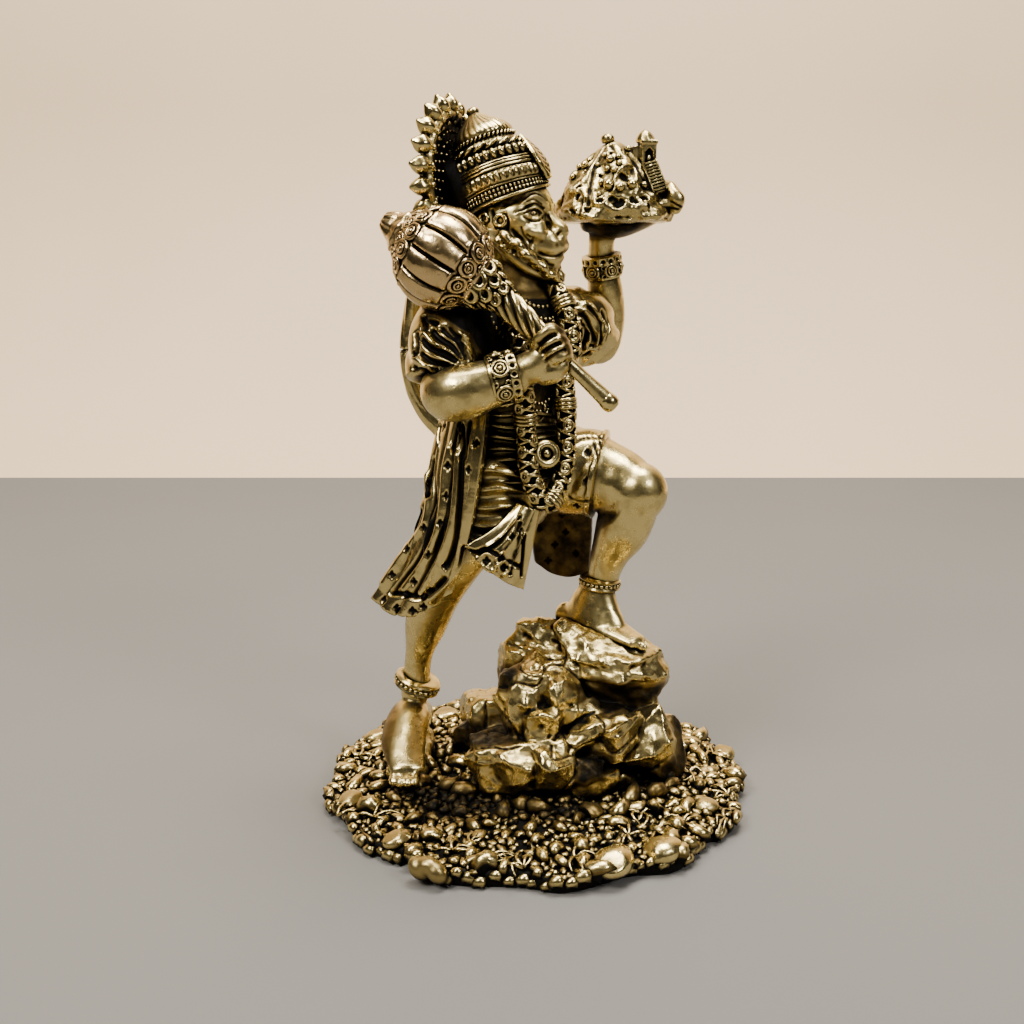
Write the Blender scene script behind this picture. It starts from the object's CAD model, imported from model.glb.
"""A small cast brass figure of a monkey-faced hero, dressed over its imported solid.

The figure strides with a mace over the right shoulder and a mountain on the raised left hand, one
foot on a heap of rocks, on a round pebbled base. Shapes are worked out in millimetres and stored in
metres.
"""
import math
import random

import bpy
import numpy as np
from mathutils import Matrix, Vector, noise
from mathutils.bvhtree import BVHTree


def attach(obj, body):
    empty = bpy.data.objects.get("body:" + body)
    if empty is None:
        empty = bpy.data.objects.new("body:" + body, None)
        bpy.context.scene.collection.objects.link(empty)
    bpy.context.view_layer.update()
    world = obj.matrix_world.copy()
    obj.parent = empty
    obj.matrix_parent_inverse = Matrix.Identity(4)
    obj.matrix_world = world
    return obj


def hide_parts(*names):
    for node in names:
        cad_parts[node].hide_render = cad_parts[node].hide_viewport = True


bl_info = {
    "name": "Cast brass hero",
    "version": (1, 0, 0),
    "blender": (4, 5, 0),
    "location": "View3D > Sidebar > Brass hero",
    "description": "Builds the cast and antiqued brass figure over its packed solid",
    "category": "Object",
}

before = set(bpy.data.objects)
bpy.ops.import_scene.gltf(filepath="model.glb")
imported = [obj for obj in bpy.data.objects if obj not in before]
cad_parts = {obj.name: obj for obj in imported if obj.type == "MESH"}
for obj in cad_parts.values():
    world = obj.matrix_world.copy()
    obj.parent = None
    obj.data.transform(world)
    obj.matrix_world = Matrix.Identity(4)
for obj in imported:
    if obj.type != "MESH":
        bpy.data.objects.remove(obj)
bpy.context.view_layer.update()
SOLID = "hero_casting"
MM = 0.001

# The pose is drawn on a canon of this height, ground to the top of the crest.
CANON_HEIGHT = 147.0
UP = np.array((0.0, 0.0, 1.0))

# The eye of the picture, in millimetres, and how far it looks down.
EYE = np.array((-5.3, -244.7, 116.7))
EYE_DOWN_DEGREES = 12.1
EYE_LENS = 40.43
SENSOR = 36.0


def linear(code):
    """An sRGB hex colour as the linear colour that shaders take."""
    channels = [int(code[k:k + 2], 16) / 255 for k in (0, 2, 4)]
    return (*(c / 12.92 if c <= 0.04045 else ((c + 0.055) / 1.055) ** 2.4 for c in channels), 1.0)


class HeroSizes(bpy.types.PropertyGroup):
    """Sizes of the figure and its base."""

    figure_height: bpy.props.FloatProperty(
        name="Figure height", description="Ground of the base to the highest bud of the crest",
        default=0.147, min=0.05, unit="LENGTH")
    base_diameter: bpy.props.FloatProperty(
        name="Base diameter", description="The round plate without the stones at its rim",
        default=0.095, min=0.03, unit="LENGTH")
    plate_thickness: bpy.props.FloatProperty(
        name="Plate thickness", description="Flat underside to the ground at the rim",
        default=0.003, min=0.001, unit="LENGTH")
    ground_rise: bpy.props.FloatProperty(
        name="Ground rise", description="How much higher the ground is in the middle than at the rim",
        default=0.0034, min=0.0, unit="LENGTH")
    scallop_depth: bpy.props.FloatProperty(
        name="Scallop depth", description="Waves of the plate's outline",
        default=0.0011, min=0.0, unit="LENGTH")
    scallop_count: bpy.props.IntProperty(
        name="Scallops", description="Number of waves round the plate", default=13, min=0)
    pebble_size: bpy.props.FloatProperty(
        name="Pebble size", description="Radius of the small pebbles of the ground",
        default=0.00085, min=0.0003, unit="LENGTH")
    pebble_count: bpy.props.IntProperty(
        name="Pebbles", description="Number of small pebbles on the ground", default=1900, min=0)
    stone_radius: bpy.props.FloatProperty(
        name="Stone radius", description="Radius of the few large stones at the rim",
        default=0.0043, min=0.001, unit="LENGTH")
    cloth_thickness: bpy.props.FloatProperty(
        name="Cloth thickness", description="Thickness of the hanging cloth",
        default=0.0017, min=0.0005, unit="LENGTH")
    garland_radius: bpy.props.FloatProperty(
        name="Garland radius", description="Half the thickness of the garland",
        default=0.0021, min=0.0005, unit="LENGTH")
    skin_voxel: bpy.props.FloatProperty(
        name="Skin grain", description="Size of the smallest detail kept where limbs melt into each other",
        default=0.0004, min=0.0002, unit="LENGTH")


class HeroFinish(bpy.types.PropertyGroup):
    """Colours and polish of the antiqued brass."""

    polished: bpy.props.FloatVectorProperty(
        name="Polished brass", description="Colour of the rubbed ridges",
        default=linear("E2CC88"), size=4, min=0.0, max=1.0, subtype="COLOR")
    aged: bpy.props.FloatVectorProperty(
        name="Aged brass", description="Colour of the surfaces between ridge and groove",
        default=linear("776236"), size=4, min=0.0, max=1.0, subtype="COLOR")
    patina: bpy.props.FloatVectorProperty(
        name="Patina", description="Colour of the dark film left in the grooves",
        default=linear("0A0805"), size=4, min=0.0, max=1.0, subtype="COLOR")
    rosy: bpy.props.FloatVectorProperty(
        name="Rosy brass", description="Colour of the mace's rubbed ribs",
        default=linear("E6C68C"), size=4, min=0.0, max=1.0, subtype="COLOR")
    polished_roughness: bpy.props.FloatProperty(
        name="Polished roughness", description="Roughness of the rubbed ridges",
        default=0.18, min=0.02, max=1.0, subtype="FACTOR")
    patina_roughness: bpy.props.FloatProperty(
        name="Patina roughness", description="Roughness of the dark film",
        default=0.55, min=0.02, max=1.0, subtype="FACTOR")
    groove_reach: bpy.props.FloatProperty(
        name="Groove reach", description="How far from a groove's bottom the dark film reaches",
        default=0.0011, min=0.0001, unit="LENGTH")
    hollow_reach: bpy.props.FloatProperty(
        name="Hollow reach", description="How far from a deep hollow's bottom the dulling reaches",
        default=0.0085, min=0.0005, unit="LENGTH")


class HeroStage(bpy.types.PropertyGroup):
    """The plain floor, the backdrop and the lights."""

    floor_colour: bpy.props.FloatVectorProperty(
        name="Floor", description="Colour of the floor",
        default=linear("6E6B65"), size=4, min=0.0, max=1.0, subtype="COLOR")
    backdrop_colour: bpy.props.FloatVectorProperty(
        name="Backdrop", description="Colour of the backdrop",
        default=linear("E2C8A2"), size=4, min=0.0, max=1.0, subtype="COLOR")
    key_power: bpy.props.FloatProperty(
        name="Key light", description="Power of the large light in front on the left",
        default=10.5, min=0.0, unit="POWER")
    fill_power: bpy.props.FloatProperty(
        name="Fill light", description="Power of the light in front on the right",
        default=4.0, min=0.0, unit="POWER")
    surround: bpy.props.FloatProperty(
        name="Surround", description="Brightness of the room around", default=0.05, min=0.0)


# Sizes, lines and frames.


def mm(name):
    """One of the panel's sizes, in millimetres."""
    return getattr(bpy.context.scene.hero_sizes, name) / MM


def unit():
    """Millimetres to one unit of the canon."""
    return mm("figure_height") / CANON_HEIGHT


def at(x, y, z):
    """A point of the pose, its z from the ground, in millimetres in the part's frame."""
    return np.array((x, y, z), float) * unit() + UP * mm("plate_thickness")


def spots(*triples):
    """Several points of the pose."""
    return [at(*triple) for triple in triples]


def direction(x, y, z):
    """A direction of length one."""
    vector = np.array((x, y, z), float)
    return vector / np.linalg.norm(vector)


def square_to(vector, axis):
    """The part of a vector square to an axis, at length one."""
    rest = vector - np.sum(vector * axis, axis=-1, keepdims=True) * axis
    return rest / np.maximum(np.linalg.norm(rest, axis=-1, keepdims=True), 1e-9)


# The middle of the head and of the chest on the canon, and the directions that they face.
HEAD_MIDDLE = (-6, 0, 121.6)
CHEST_MIDDLE = (-4, 0, 92)
CHEST_FORWARD = direction(0.66, -0.75, 0)
CHEST_LEFT = direction(0.756, 0.653, 0)
HEAD_FORWARD = direction(0.94, -0.342, 0)
HEAD_RIGHT = direction(-0.342, -0.94, 0)


def blend_values(knots, t):
    """Values between the knots of a list, on a smooth curve through them."""
    k = np.asarray(knots, float)
    k = k.reshape(len(k), -1)
    last = len(k) - 1
    s = np.clip(np.atleast_1d(t), 0, 1) * last
    i = np.clip(np.floor(s).astype(int), 0, max(last - 1, 0))
    w = (s - i)[:, None]
    before, here = k[np.maximum(i - 1, 0)], k[i]
    there, after = k[np.minimum(i + 1, last)], k[np.minimum(i + 2, last)]
    leave, arrive = (there - before) / 2, (after - here) / 2
    cubic = 2 * here - 2 * there + leave + arrive
    square = -3 * here + 3 * there - 2 * leave - arrive
    return cubic * w**3 + square * w**2 + leave * w + here


def smooth_line(through, closed=False):
    """A smooth line through points, as a function from shares 0 to 1 to points."""
    p = np.array(through, float)
    count = len(p)
    if closed:
        padded = np.vstack([p[-1], p, p[:2]])
    else:
        padded = np.vstack([2 * p[0] - p[1], p, 2 * p[-1] - p[-2]])

    def line(share):
        spans = count if closed else count - 1
        s = np.atleast_1d(np.asarray(share, float))
        s = (s % 1.0) * spans if closed else np.clip(s, 0, 1) * spans
        i = np.clip(np.floor(s).astype(int), 0, spans - 1)
        w = (s - i)[:, None]
        x0, x1, x2, x3 = (padded[i + k] for k in range(4))
        d0, d1, d2 = (
            np.maximum(np.sum((b - a) ** 2, axis=1) ** 0.25, 1e-4)[:, None]
            for a, b in ((x0, x1), (x1, x2), (x2, x3))
        )
        leave = ((x1 - x0) / d0 - (x2 - x0) / (d0 + d1) + (x2 - x1) / d1) * d1
        arrive = ((x2 - x1) / d1 - (x3 - x1) / (d1 + d2) + (x3 - x2) / d2) * d1
        return (
            x1 + leave * w + (-3 * x1 + 3 * x2 - 2 * leave - arrive) * w**2
            + (2 * x1 - 2 * x2 + leave + arrive) * w**3
        )

    return line


def evenly(line, count, closed=False):
    """Shares of a line that lie evenly along its length."""
    fine = np.linspace(0, 1, 1200)
    steps = np.linalg.norm(np.diff(line(fine - 1e-9 * closed), axis=0), axis=1)
    run = np.concatenate([[0], np.cumsum(steps)])
    goal = np.linspace(0, run[-1], count, endpoint=not closed)
    return np.interp(goal, run, fine)


def line_frames(line, share, across):
    """Points, tangents and two directions square to them along a line."""
    step = 1e-4
    share = np.asarray(share, float)
    tangent = line(share + step) - line(share - step)
    tangent /= np.maximum(np.linalg.norm(tangent, axis=1, keepdims=True), 1e-9)
    side = square_to(np.broadcast_to(across, tangent.shape), tangent)
    return line(share), tangent, side, np.cross(tangent, side)


# Meshes.


def deselect():
    """Object mode with nothing selected."""
    if bpy.context.object and bpy.context.object.mode != "OBJECT":
        bpy.ops.object.mode_set(mode="OBJECT")
    bpy.ops.object.select_all(action="DESELECT")


def take(piece):
    """Selects one piece and makes it the active one."""
    deselect()
    piece.select_set(True)
    bpy.context.view_layer.objects.active = piece
    return piece


def corners(piece):
    """The piece's corners in millimetres."""
    flat = np.empty(len(piece.data.vertices) * 3, np.float32)
    piece.data.vertices.foreach_get("co", flat)
    return flat.reshape(-1, 3).astype(float) / MM


def set_corners(piece, positions):
    """Moves the piece's corners to positions in millimetres."""
    piece.data.vertices.foreach_set("co", (np.asarray(positions, np.float32) * MM).ravel())
    piece.data.update()


def corner_normals(piece):
    """The piece's outward direction at each corner."""
    flat = np.empty(len(piece.data.vertices) * 3, np.float32)
    piece.data.vertex_normals.foreach_get("vector", flat)
    return flat.reshape(-1, 3).astype(float)


def rolled(rings, close_rows=False):
    """A grid rolled into a closed shape: each row of points is a ring, and its open ends are filled."""
    rings = np.asarray(rings, float)
    rows, columns = rings.shape[:2]
    if close_rows:
        rings = np.concatenate([rings, rings[:1]])
        rows += 1
    rings = np.concatenate([rings, rings[:, :1]], axis=1)
    deselect()
    bpy.ops.mesh.primitive_grid_add(x_subdivisions=columns, y_subdivisions=rows - 1, size=1)
    piece = bpy.context.object
    if len(piece.data.vertices) != rows * (columns + 1):
        raise ValueError("the grid has another number of corners than its rings")
    set_corners(piece, rings.reshape(-1, 3))
    bpy.ops.object.mode_set(mode="EDIT")
    bpy.ops.mesh.select_all(action="SELECT")
    bpy.ops.mesh.remove_doubles(threshold=2e-7)
    if not close_rows:
        bpy.ops.mesh.select_all(action="SELECT")
        bpy.ops.mesh.fill_holes(sides=0)
    bpy.ops.mesh.select_all(action="SELECT")
    bpy.ops.mesh.normals_make_consistent(inside=False)
    bpy.ops.object.mode_set(mode="OBJECT")
    return piece


def limb(through, radii, sides=36, rings=50, across=UP, relief=None, domes=(0.5, 0.5)):
    """Rings along a smooth line. Each radius is one number or a pair: half width along `across` and
    half depth square to it. `relief` adds to the radius for a share and an angle; domes round the ends."""
    line = smooth_line(through)
    sizes = np.array([r if isinstance(r, (tuple, list)) else (r, r) for r in radii], float) * unit()
    steps = [math.radians(degrees) for degrees in (82, 60, 32)]
    share = np.linspace(0, 1, rings + 1)
    rows = (
        [(0.0, math.cos(a), -math.sin(a) * domes[0]) for a in steps if domes[0]]
        + [(t, 1.0, 0.0) for t in share]
        + [(1.0, math.cos(a), math.sin(a) * domes[1]) for a in reversed(steps) if domes[1]]
    )
    t, scale, shift = (np.array(column) for column in zip(*rows))
    centre, tangent, side, third = line_frames(line, t, across)
    half = blend_values(sizes, t)
    centre = centre + tangent * (shift * half.mean(axis=1))[:, None]
    angle = np.linspace(0, 2 * math.pi, sides, endpoint=False)[None, :]
    extra = relief(t[:, None], angle) * unit() if relief else np.zeros((len(t), sides))
    wide = (half[:, :1] + extra) * scale[:, None] * np.cos(angle)
    deep = (half[:, 1:] + extra) * scale[:, None] * np.sin(angle)
    return rolled(centre[:, None] + wide[..., None] * side[:, None] + deep[..., None] * third[:, None])


def turned(profile, centre, axis, across=HEAD_FORWARD, sides=48, fine=1, relief=None):
    """A turned shape from pairs of radius and height along an axis, with `fine` rings to each pair."""
    points = np.array(profile, float) * unit()
    if fine > 1:
        t = np.linspace(0, 1, fine * (len(points) - 1) + 1)
        points = np.stack([np.interp(t, np.linspace(0, 1, len(points)), points[:, k]) for k in (0, 1)], 1)
    forward = square_to(across, axis)
    left = np.cross(axis, forward)
    angle = np.linspace(0, 2 * math.pi, sides, endpoint=False)
    radius = np.maximum(points[:, :1], 0.02) * np.ones(sides)
    if relief:
        radius = radius + relief(points[:, 1:] / unit(), angle[None, :]) * unit()
    ring = np.cos(angle)[None, :, None] * forward + np.sin(angle)[None, :, None] * left
    return rolled(centre + axis * points[:, 1][:, None, None] + ring * radius[..., None])


def three_axes(forward, upward):
    """Directions square to each other: X to `forward` and Z near `upward`."""
    x = np.asarray(forward, float) / np.linalg.norm(forward)
    z = square_to(np.asarray(upward, float), x)
    return x, np.cross(z, x), z


def put(piece, centre, forward, upward, scale):
    """Scales a new primitive, turns its X to `forward` and its Z near `upward`, and moves it, all in
    its mesh. Sizes are millimetres."""
    rows = [[*(MM * scale[k] * axis[row] for k, axis in enumerate(three_axes(forward, upward))),
             MM * centre[row]] for row in range(3)]
    piece.data.transform(Matrix(rows + [[0, 0, 0, 1]]))
    piece.data.update()
    return piece


def ball(centre, half, forward=(1, 0, 0), upward=UP, segments=32, rings=20):
    """A stretched ball with these half sizes, in canon units."""
    deselect()
    bpy.ops.mesh.primitive_uv_sphere_add(segments=segments, ring_count=rings, radius=1)
    return put(bpy.context.object, centre, forward, upward, [h * unit() for h in half])


def named(piece, name):
    """The piece, with its name."""
    piece.name = name
    return piece


def joined(pieces, name):
    """One object of several."""
    deselect()
    for piece in pieces:
        piece.select_set(True)
    bpy.context.view_layer.objects.active = pieces[0]
    if len(pieces) > 1:
        bpy.ops.object.join()
    piece = bpy.context.object
    piece.name = name
    piece.data.name = name
    return piece


def with_modifier(piece, kind, **settings):
    """Adds a modifier and applies it."""
    take(piece)
    modifier = piece.modifiers.new(kind.lower(), kind)
    for key, value in settings.items():
        setattr(modifier, key, value)
    bpy.ops.object.modifier_apply(modifier=modifier.name)
    return piece


def melted(pieces, name, voxel, smooth):
    """Several closed shapes melted into one skin, as they are in wax, and smoothed a few times."""
    piece = joined(pieces, name)
    with_modifier(piece, "REMESH", mode="VOXEL", voxel_size=voxel * MM)
    return with_modifier(piece, "SMOOTH", factor=0.5, iterations=smooth)


def repeated(template, placings, name, film_below=None):
    """Copies of a small shape as one mesh. Each placing is a 3x4 matrix in millimetres. The dark film
    covers what lies below `film_below` in the template."""
    base = corners(template)
    faces = [tuple(face.vertices) for face in template.data.polygons]
    placings = np.asarray(placings, float).reshape(-1, 3, 4)
    moved = np.einsum("nij,vj->nvi", placings[:, :, :3], base) + placings[:, None, :, 3]
    count = len(base)
    every = [tuple(index + n * count for index in face) for n in range(len(placings)) for face in faces]
    mesh = bpy.data.meshes.new(name)
    mesh.from_pydata((moved.reshape(-1, 3) * MM).tolist(), [], every)
    mesh.update()
    piece = bpy.data.objects.new(name, mesh)
    bpy.context.collection.objects.link(piece)
    bpy.data.objects.remove(template)
    if film_below is not None:
        low = np.clip((film_below - base[:, 2]) / 0.4, 0, 1)
        set_film(piece, np.tile(low, len(placings)))
    return piece


def placing(centre, forward, upward, scale):
    """A 3x4 matrix: scale, then X to `forward` and Z near `upward`, then the centre."""
    x, y, z = three_axes(forward, upward)
    scale = np.broadcast_to(scale, 3)
    return np.column_stack([x * scale[0], y * scale[1], z * scale[2], centre])


def bead_shape(segments=8, rings=5):
    """A ball of radius one millimetre with few faces, to be repeated."""
    deselect()
    bpy.ops.mesh.primitive_uv_sphere_add(segments=segments, ring_count=rings, radius=MM)
    return bpy.context.object


def ring_shape(thick, around, across):
    """A ring of radius one millimetre that lies flat, to be repeated."""
    deselect()
    bpy.ops.mesh.primitive_torus_add(
        major_segments=around, minor_segments=across, major_radius=MM, minor_radius=thick * MM)
    return bpy.context.object


def nugget_shape(seed, rough):
    """A lumpy pebble of radius one millimetre with two dozen faces, to be repeated."""
    deselect()
    bpy.ops.mesh.primitive_cube_add(size=MM)
    piece = bpy.context.object
    bpy.ops.object.mode_set(mode="EDIT")
    bpy.ops.mesh.subdivide(number_cuts=1)
    bpy.ops.object.mode_set(mode="OBJECT")
    dice = random.Random(seed)
    shift = Vector((dice.random() * 20, dice.random() * 20, dice.random() * 20))
    for vertex in piece.data.vertices:
        way = vertex.co.normalized()
        vertex.co = way * MM * (1 + rough * noise.noise(way * 1.4 + shift))
    return piece


def round_axis(axis, across, count, start=0.0):
    """Directions outwards from an axis, evenly round it. The first lies near `across`, or `start` of a
    step further."""
    forward = square_to(np.asarray(across, float), axis)
    left = np.cross(axis, forward)
    for k in range(count):
        angle = 2 * math.pi * (k + start) / count
        yield math.cos(angle) * forward + math.sin(angle) * left


def ring_of(template, centre, axis, radius, count, scale, name, across=HEAD_FORWARD, lift=0.0, twist=0.0,
            wobble=0.0):
    """Copies of a shape round an axis, each with its Z outwards and its X round the ring, turned by
    `twist` out of the ring. The ring lies `lift` along the axis, and the copies differ in size by the
    share `wobble`."""
    dice = random.Random(count)
    rows = []
    for out in round_axis(axis, across, count):
        along = np.cross(axis, out)
        x = math.cos(twist) * along + math.sin(twist) * axis
        size = np.broadcast_to(scale, 3) * (1 + wobble * (dice.random() - 0.5))
        rows.append(placing(centre + out * radius + axis * lift, x, out, size))
    return repeated(template, rows, name)


def wire(through, radius, closed=False, sides=8, spacing=0.5, name="wire"):
    """A thin round bar along a line, its radius one number or a list of them, in millimetres."""
    line = smooth_line(through, closed)
    fine = line(np.linspace(0, 1, 200))
    length = np.linalg.norm(np.diff(fine, axis=0), axis=1).sum()
    count = max(6, int(length / spacing))
    share = evenly(line, count, closed)
    centre, _, side, third = line_frames(line, share, UP)
    radii = [radius] if np.isscalar(radius) else radius
    half = blend_values(radii if len(radii) > 1 else [radii[0]] * 2, share)
    angle = np.linspace(0, 2 * math.pi, sides, endpoint=False)[None, :, None]
    ring = side[:, None] * np.cos(angle) + third[:, None] * np.sin(angle)
    return named(rolled(centre[:, None] + ring * half[:, None], close_rows=closed), name)


# Carving.


def dark_film(piece):
    """How much of the dark film each corner holds, 0 to 1, and the attribute that keeps it."""
    layer = piece.data.attributes.get("patina")
    if layer is None:
        layer = piece.data.attributes.new("patina", "FLOAT", "POINT")
    values = np.zeros(len(piece.data.vertices), np.float32)
    layer.data.foreach_get("value", values)
    return values, layer


def set_film(piece, values):
    """Gives the corners their share of the dark film: one number for all, or one for each."""
    _, layer = dark_film(piece)
    whole = np.broadcast_to(np.asarray(values, np.float32), len(piece.data.vertices))
    layer.data.foreach_set("value", np.ascontiguousarray(whole))


def in_order(piece):
    """The same mesh with its corners and faces sorted by place, so that nothing made from it depends on
    the order in which the hull lists them."""
    points = corners(piece)
    order = np.lexsort(np.round(points, 4).T)
    number = np.argsort(order)
    faces = []
    for polygon in piece.data.polygons:
        around = [int(number[k]) for k in polygon.vertices]
        first = around.index(min(around))
        faces.append(tuple(around[first:] + around[:first]))
    mesh = bpy.data.meshes.new(piece.name)
    mesh.from_pydata([tuple(point * MM) for point in points[order]], [], sorted(faces))
    piece.data = mesh
    return piece


def press(piece, lines, width, depth, film=1.0, flat=False):
    """Presses grooves along lines on a surface, or raises ridges where depth is negative. Lengths are
    millimetres, `film` is the dark left in the groove, `flat` gives it a flat bottom."""
    positions = corners(piece)
    normals = corner_normals(piece)
    values, layer = dark_film(piece)
    moved = positions.copy()
    reach = 2.4 * width
    for line in lines:
        line = np.atleast_2d(np.asarray(line, float))
        near = np.all((positions > line.min(0) - reach) & (positions < line.max(0) + reach), axis=1)
        index = np.nonzero(near)[0]
        if not len(index):
            continue
        gap = np.full(len(index), np.inf)
        for start in range(0, len(line), 64):
            block = positions[index][:, None] - line[None, start:start + 64]
            gap = np.minimum(gap, np.sqrt((block**2).sum(-1)).min(1))
        share = np.clip(gap / width, 0, 9)
        weight = 1 / (1 + share**8) if flat else np.exp(-(share**2))
        moved[index] -= normals[index] * (depth * weight)[:, None]
        values[index] = np.clip(np.maximum(values[index], film * np.clip(1.25 * weight - 0.1, 0, 1)), 0, 1)
    set_corners(piece, moved)
    layer.data.foreach_set("value", values)
    piece.data.update()
    return piece


def surface_of(piece):
    """The piece's surface for casting rays."""
    return BVHTree.FromPolygons(
        [v.co for v in piece.data.vertices], [tuple(p.vertices) for p in piece.data.polygons])


def solid_surface():
    """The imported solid's surface for casting rays."""
    return surface_of(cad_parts[SOLID])


def seen(surface, x, z):
    """The point of a surface that the eye sees through the point (x, 0, z), and the surface's direction
    there. All in millimetres. None if it looks past."""
    towards = np.array((x, 0.0, z)) - EYE
    towards /= np.linalg.norm(towards)
    hit, normal, _, _ = surface.ray_cast(Vector(EYE * MM), Vector(towards))
    if hit is None:
        return None
    normal = np.array(normal)
    if normal @ towards > 0:
        normal = -normal
    return np.array(hit) / MM, normal


def as_seen(points):
    """Where the eye sees points, as (x, z) in the plane y = 0."""
    share = -EYE[1] / (points[:, 1] - EYE[1])
    return (EYE + (points - EYE) * share[:, None])[:, (0, 2)]


def on_sight(x, z, depth):
    """The point at a depth y on the eye's way through the point (x, 0, z)."""
    return EYE + (np.array((x, 0.0, z)) - EYE) * ((EYE[1] - depth) / EYE[1])


def shade(piece, outlines, film=1.0, soft=0.7):
    """Leaves the dark film inside outlines, on the side of a piece that the eye sees."""
    points = corners(piece)
    flat = as_seen(points)
    facing = ((EYE - points) * corner_normals(piece)).sum(1) > 0
    values, _ = dark_film(piece)
    for outline in outlines:
        ring = np.array(outline, float)
        inside = np.zeros(len(flat), bool)
        gap = np.full(len(flat), np.inf)
        for a, b in zip(ring, np.roll(ring, -1, axis=0)):
            span = b - a
            share = np.clip((flat - a) @ span / max(span @ span, 1e-9), 0, 1)
            gap = np.minimum(gap, np.linalg.norm(flat - a - share[:, None] * span, axis=1))
            crosses = (a[1] > flat[:, 1]) != (b[1] > flat[:, 1])
            level = a[0] + (flat[:, 1] - a[1]) * span[0] / (span[1] if span[1] else 1e-9)
            inside ^= crosses & (flat[:, 0] < level)
        cover = np.clip(0.5 + np.where(inside, gap, -gap) / (2 * soft), 0, 1) * facing
        values = np.maximum(values, film * cover)
    set_film(piece, values)
    return piece


def drawn(surface, sketch, spacing=0.16):
    """A line drawn on a surface as the eye sees it. The sketch is pairs (x, z) in the plane y = 0. Points
    whose depth is more than `jump` off the middle one fall away, so that no line leaps to a form behind."""
    jump = 4.0
    flat = [(x, 0.0, z) for x, z in sketch]
    if len(flat) == 1:
        fine = np.array(flat)
    elif len(flat) == 2:
        fine = np.linspace(flat[0], flat[1], 12)
    else:
        line = smooth_line(flat)
        length = np.linalg.norm(np.diff(line(np.linspace(0, 1, 60)), axis=0), axis=1).sum()
        fine = line(np.linspace(0, 1, max(8, int(length / spacing))))
    found = [seen(surface, x, z) for x, _, z in fine]
    hits = [spot[0] for spot in found if spot]
    if not hits:
        return None
    depth = np.median([hit[1] for hit in hits])
    return np.array([hit for hit in hits if abs(hit[1] - depth) < jump])


def all_drawn(surface, sketches, spacing=0.16):
    """The lines of several sketches, without those that miss the surface."""
    lines = [drawn(surface, sketch, spacing) for sketch in sketches]
    return [line for line in lines if line is not None and len(line)]


def each_seen(surface, marks):
    """For each mark (x, z) or (x, z, size) that the eye finds on a surface: the mark, the point there and
    the surface's direction."""
    for mark in marks:
        spot = seen(surface, *mark[:2])
        if spot is not None:
            yield mark, *spot


def carve(piece, valleys=(), ridges=(), deep=(0.5, 0.9), high=(0.7, -0.35), film=1.0):
    """Cuts valleys and raises ridges along sketches on what the eye sees. `deep` and `high` are each a
    width and a depth, and `film` is the dark left in the valleys."""
    surface = surface_of(piece)
    for sketches, (width, depth), dark in ((ridges, high, 0.0), (valleys, deep, film)):
        press(piece, all_drawn(surface, sketches), width, depth, film=dark)
    return piece


def across_head(points):
    """The same line on the other side of the face."""
    middle = at(*HEAD_MIDDLE)
    return points - 2 * ((points - middle) @ HEAD_RIGHT)[:, None] * HEAD_RIGHT


def stamp_lines(centre, normal, size, way=UP):
    """Two short crossed strokes on a surface, as a flower stamp on cloth."""
    side = square_to(np.cross(normal, way), normal)
    other = np.cross(normal, side)
    share = np.linspace(-0.5, 0.5, 9)[:, None]
    return [centre + share * size * side, centre + share * size * other]


# Finish.


def age(piece, hollows):
    """Works out how far each corner stands out from the surface around it and keeps it as two attributes:
    `wear` on the ridges that a cloth rubs bright, and more of `patina` where it can't reach. It looks at
    folds and creases of half a millimetre, and at forms of two, whose hollows hold the dark from the first
    of the depths `hollows` to the second."""
    positions, normals = corners(piece), corner_normals(piece)
    count = len(positions)
    ends = np.empty(len(piece.data.edges) * 2, np.int32)
    piece.data.edges.foreach_get("vertices", ends)
    a, b = ends.reshape(-1, 2).T
    near = np.maximum(np.bincount(a, minlength=count) + np.bincount(b, minlength=count), 1)
    step = float(np.median(((positions[b] - positions[a]) ** 2).sum(1)))
    wear, grime = np.zeros(count), np.zeros(count)
    settled = positions.copy()
    done = 0
    folds = (0.5, 12, (0.05, 0.15), (0.035, 0.13))
    forms = (4.5, 70, (0.3, 0.7), hollows)
    for reach, most, ridge, valley in (folds, forms):
        rounds = int(np.clip(reach / step, 2, most))
        for _ in range(rounds - done):
            around = [np.bincount(a, settled[b, k], count) + np.bincount(b, settled[a, k], count)
                      for k in range(3)]
            settled = 0.5 * settled + 0.5 * np.stack(around, 1) / near[:, None]
        done = max(rounds, done)
        proud = ((positions - settled) * normals).sum(1)
        wear = np.maximum(wear, np.clip((proud - ridge[0]) / (ridge[1] - ridge[0]), 0, 1))
        grime = np.maximum(grime, np.clip((-proud - valley[0]) / (valley[1] - valley[0]), 0, 1))
    set_film(piece, np.maximum(dark_film(piece)[0], grime))
    wear_layer = piece.data.attributes.new("wear", "FLOAT", "POINT")
    wear_layer.data.foreach_set("value", wear.astype(np.float32))


def add_node(tree, kind, links=None, **settings):
    """Adds a node. Settings name its properties, or its inputs by number or name in `inputs`; links
    give the output that feeds each input."""
    node = tree.nodes.new(kind)
    for key, value in settings.pop("inputs", {}).items():
        node.inputs[key].default_value = value
    for key, value in settings.items():
        setattr(node, key, value)
    for key, output in (links or {}).items():
        tree.links.new(output, node.inputs[key])
    return node


def ranged(tree, source, low, high, to_low, to_high, smooth=False):
    """One range of a value laid on another."""
    kind = "SMOOTHSTEP" if smooth else "LINEAR"
    return add_node(tree, "ShaderNodeMapRange", {0: source}, interpolation_type=kind,
                    inputs={1: low, 2: high, 3: to_low, 4: to_high}).outputs[0]


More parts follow.
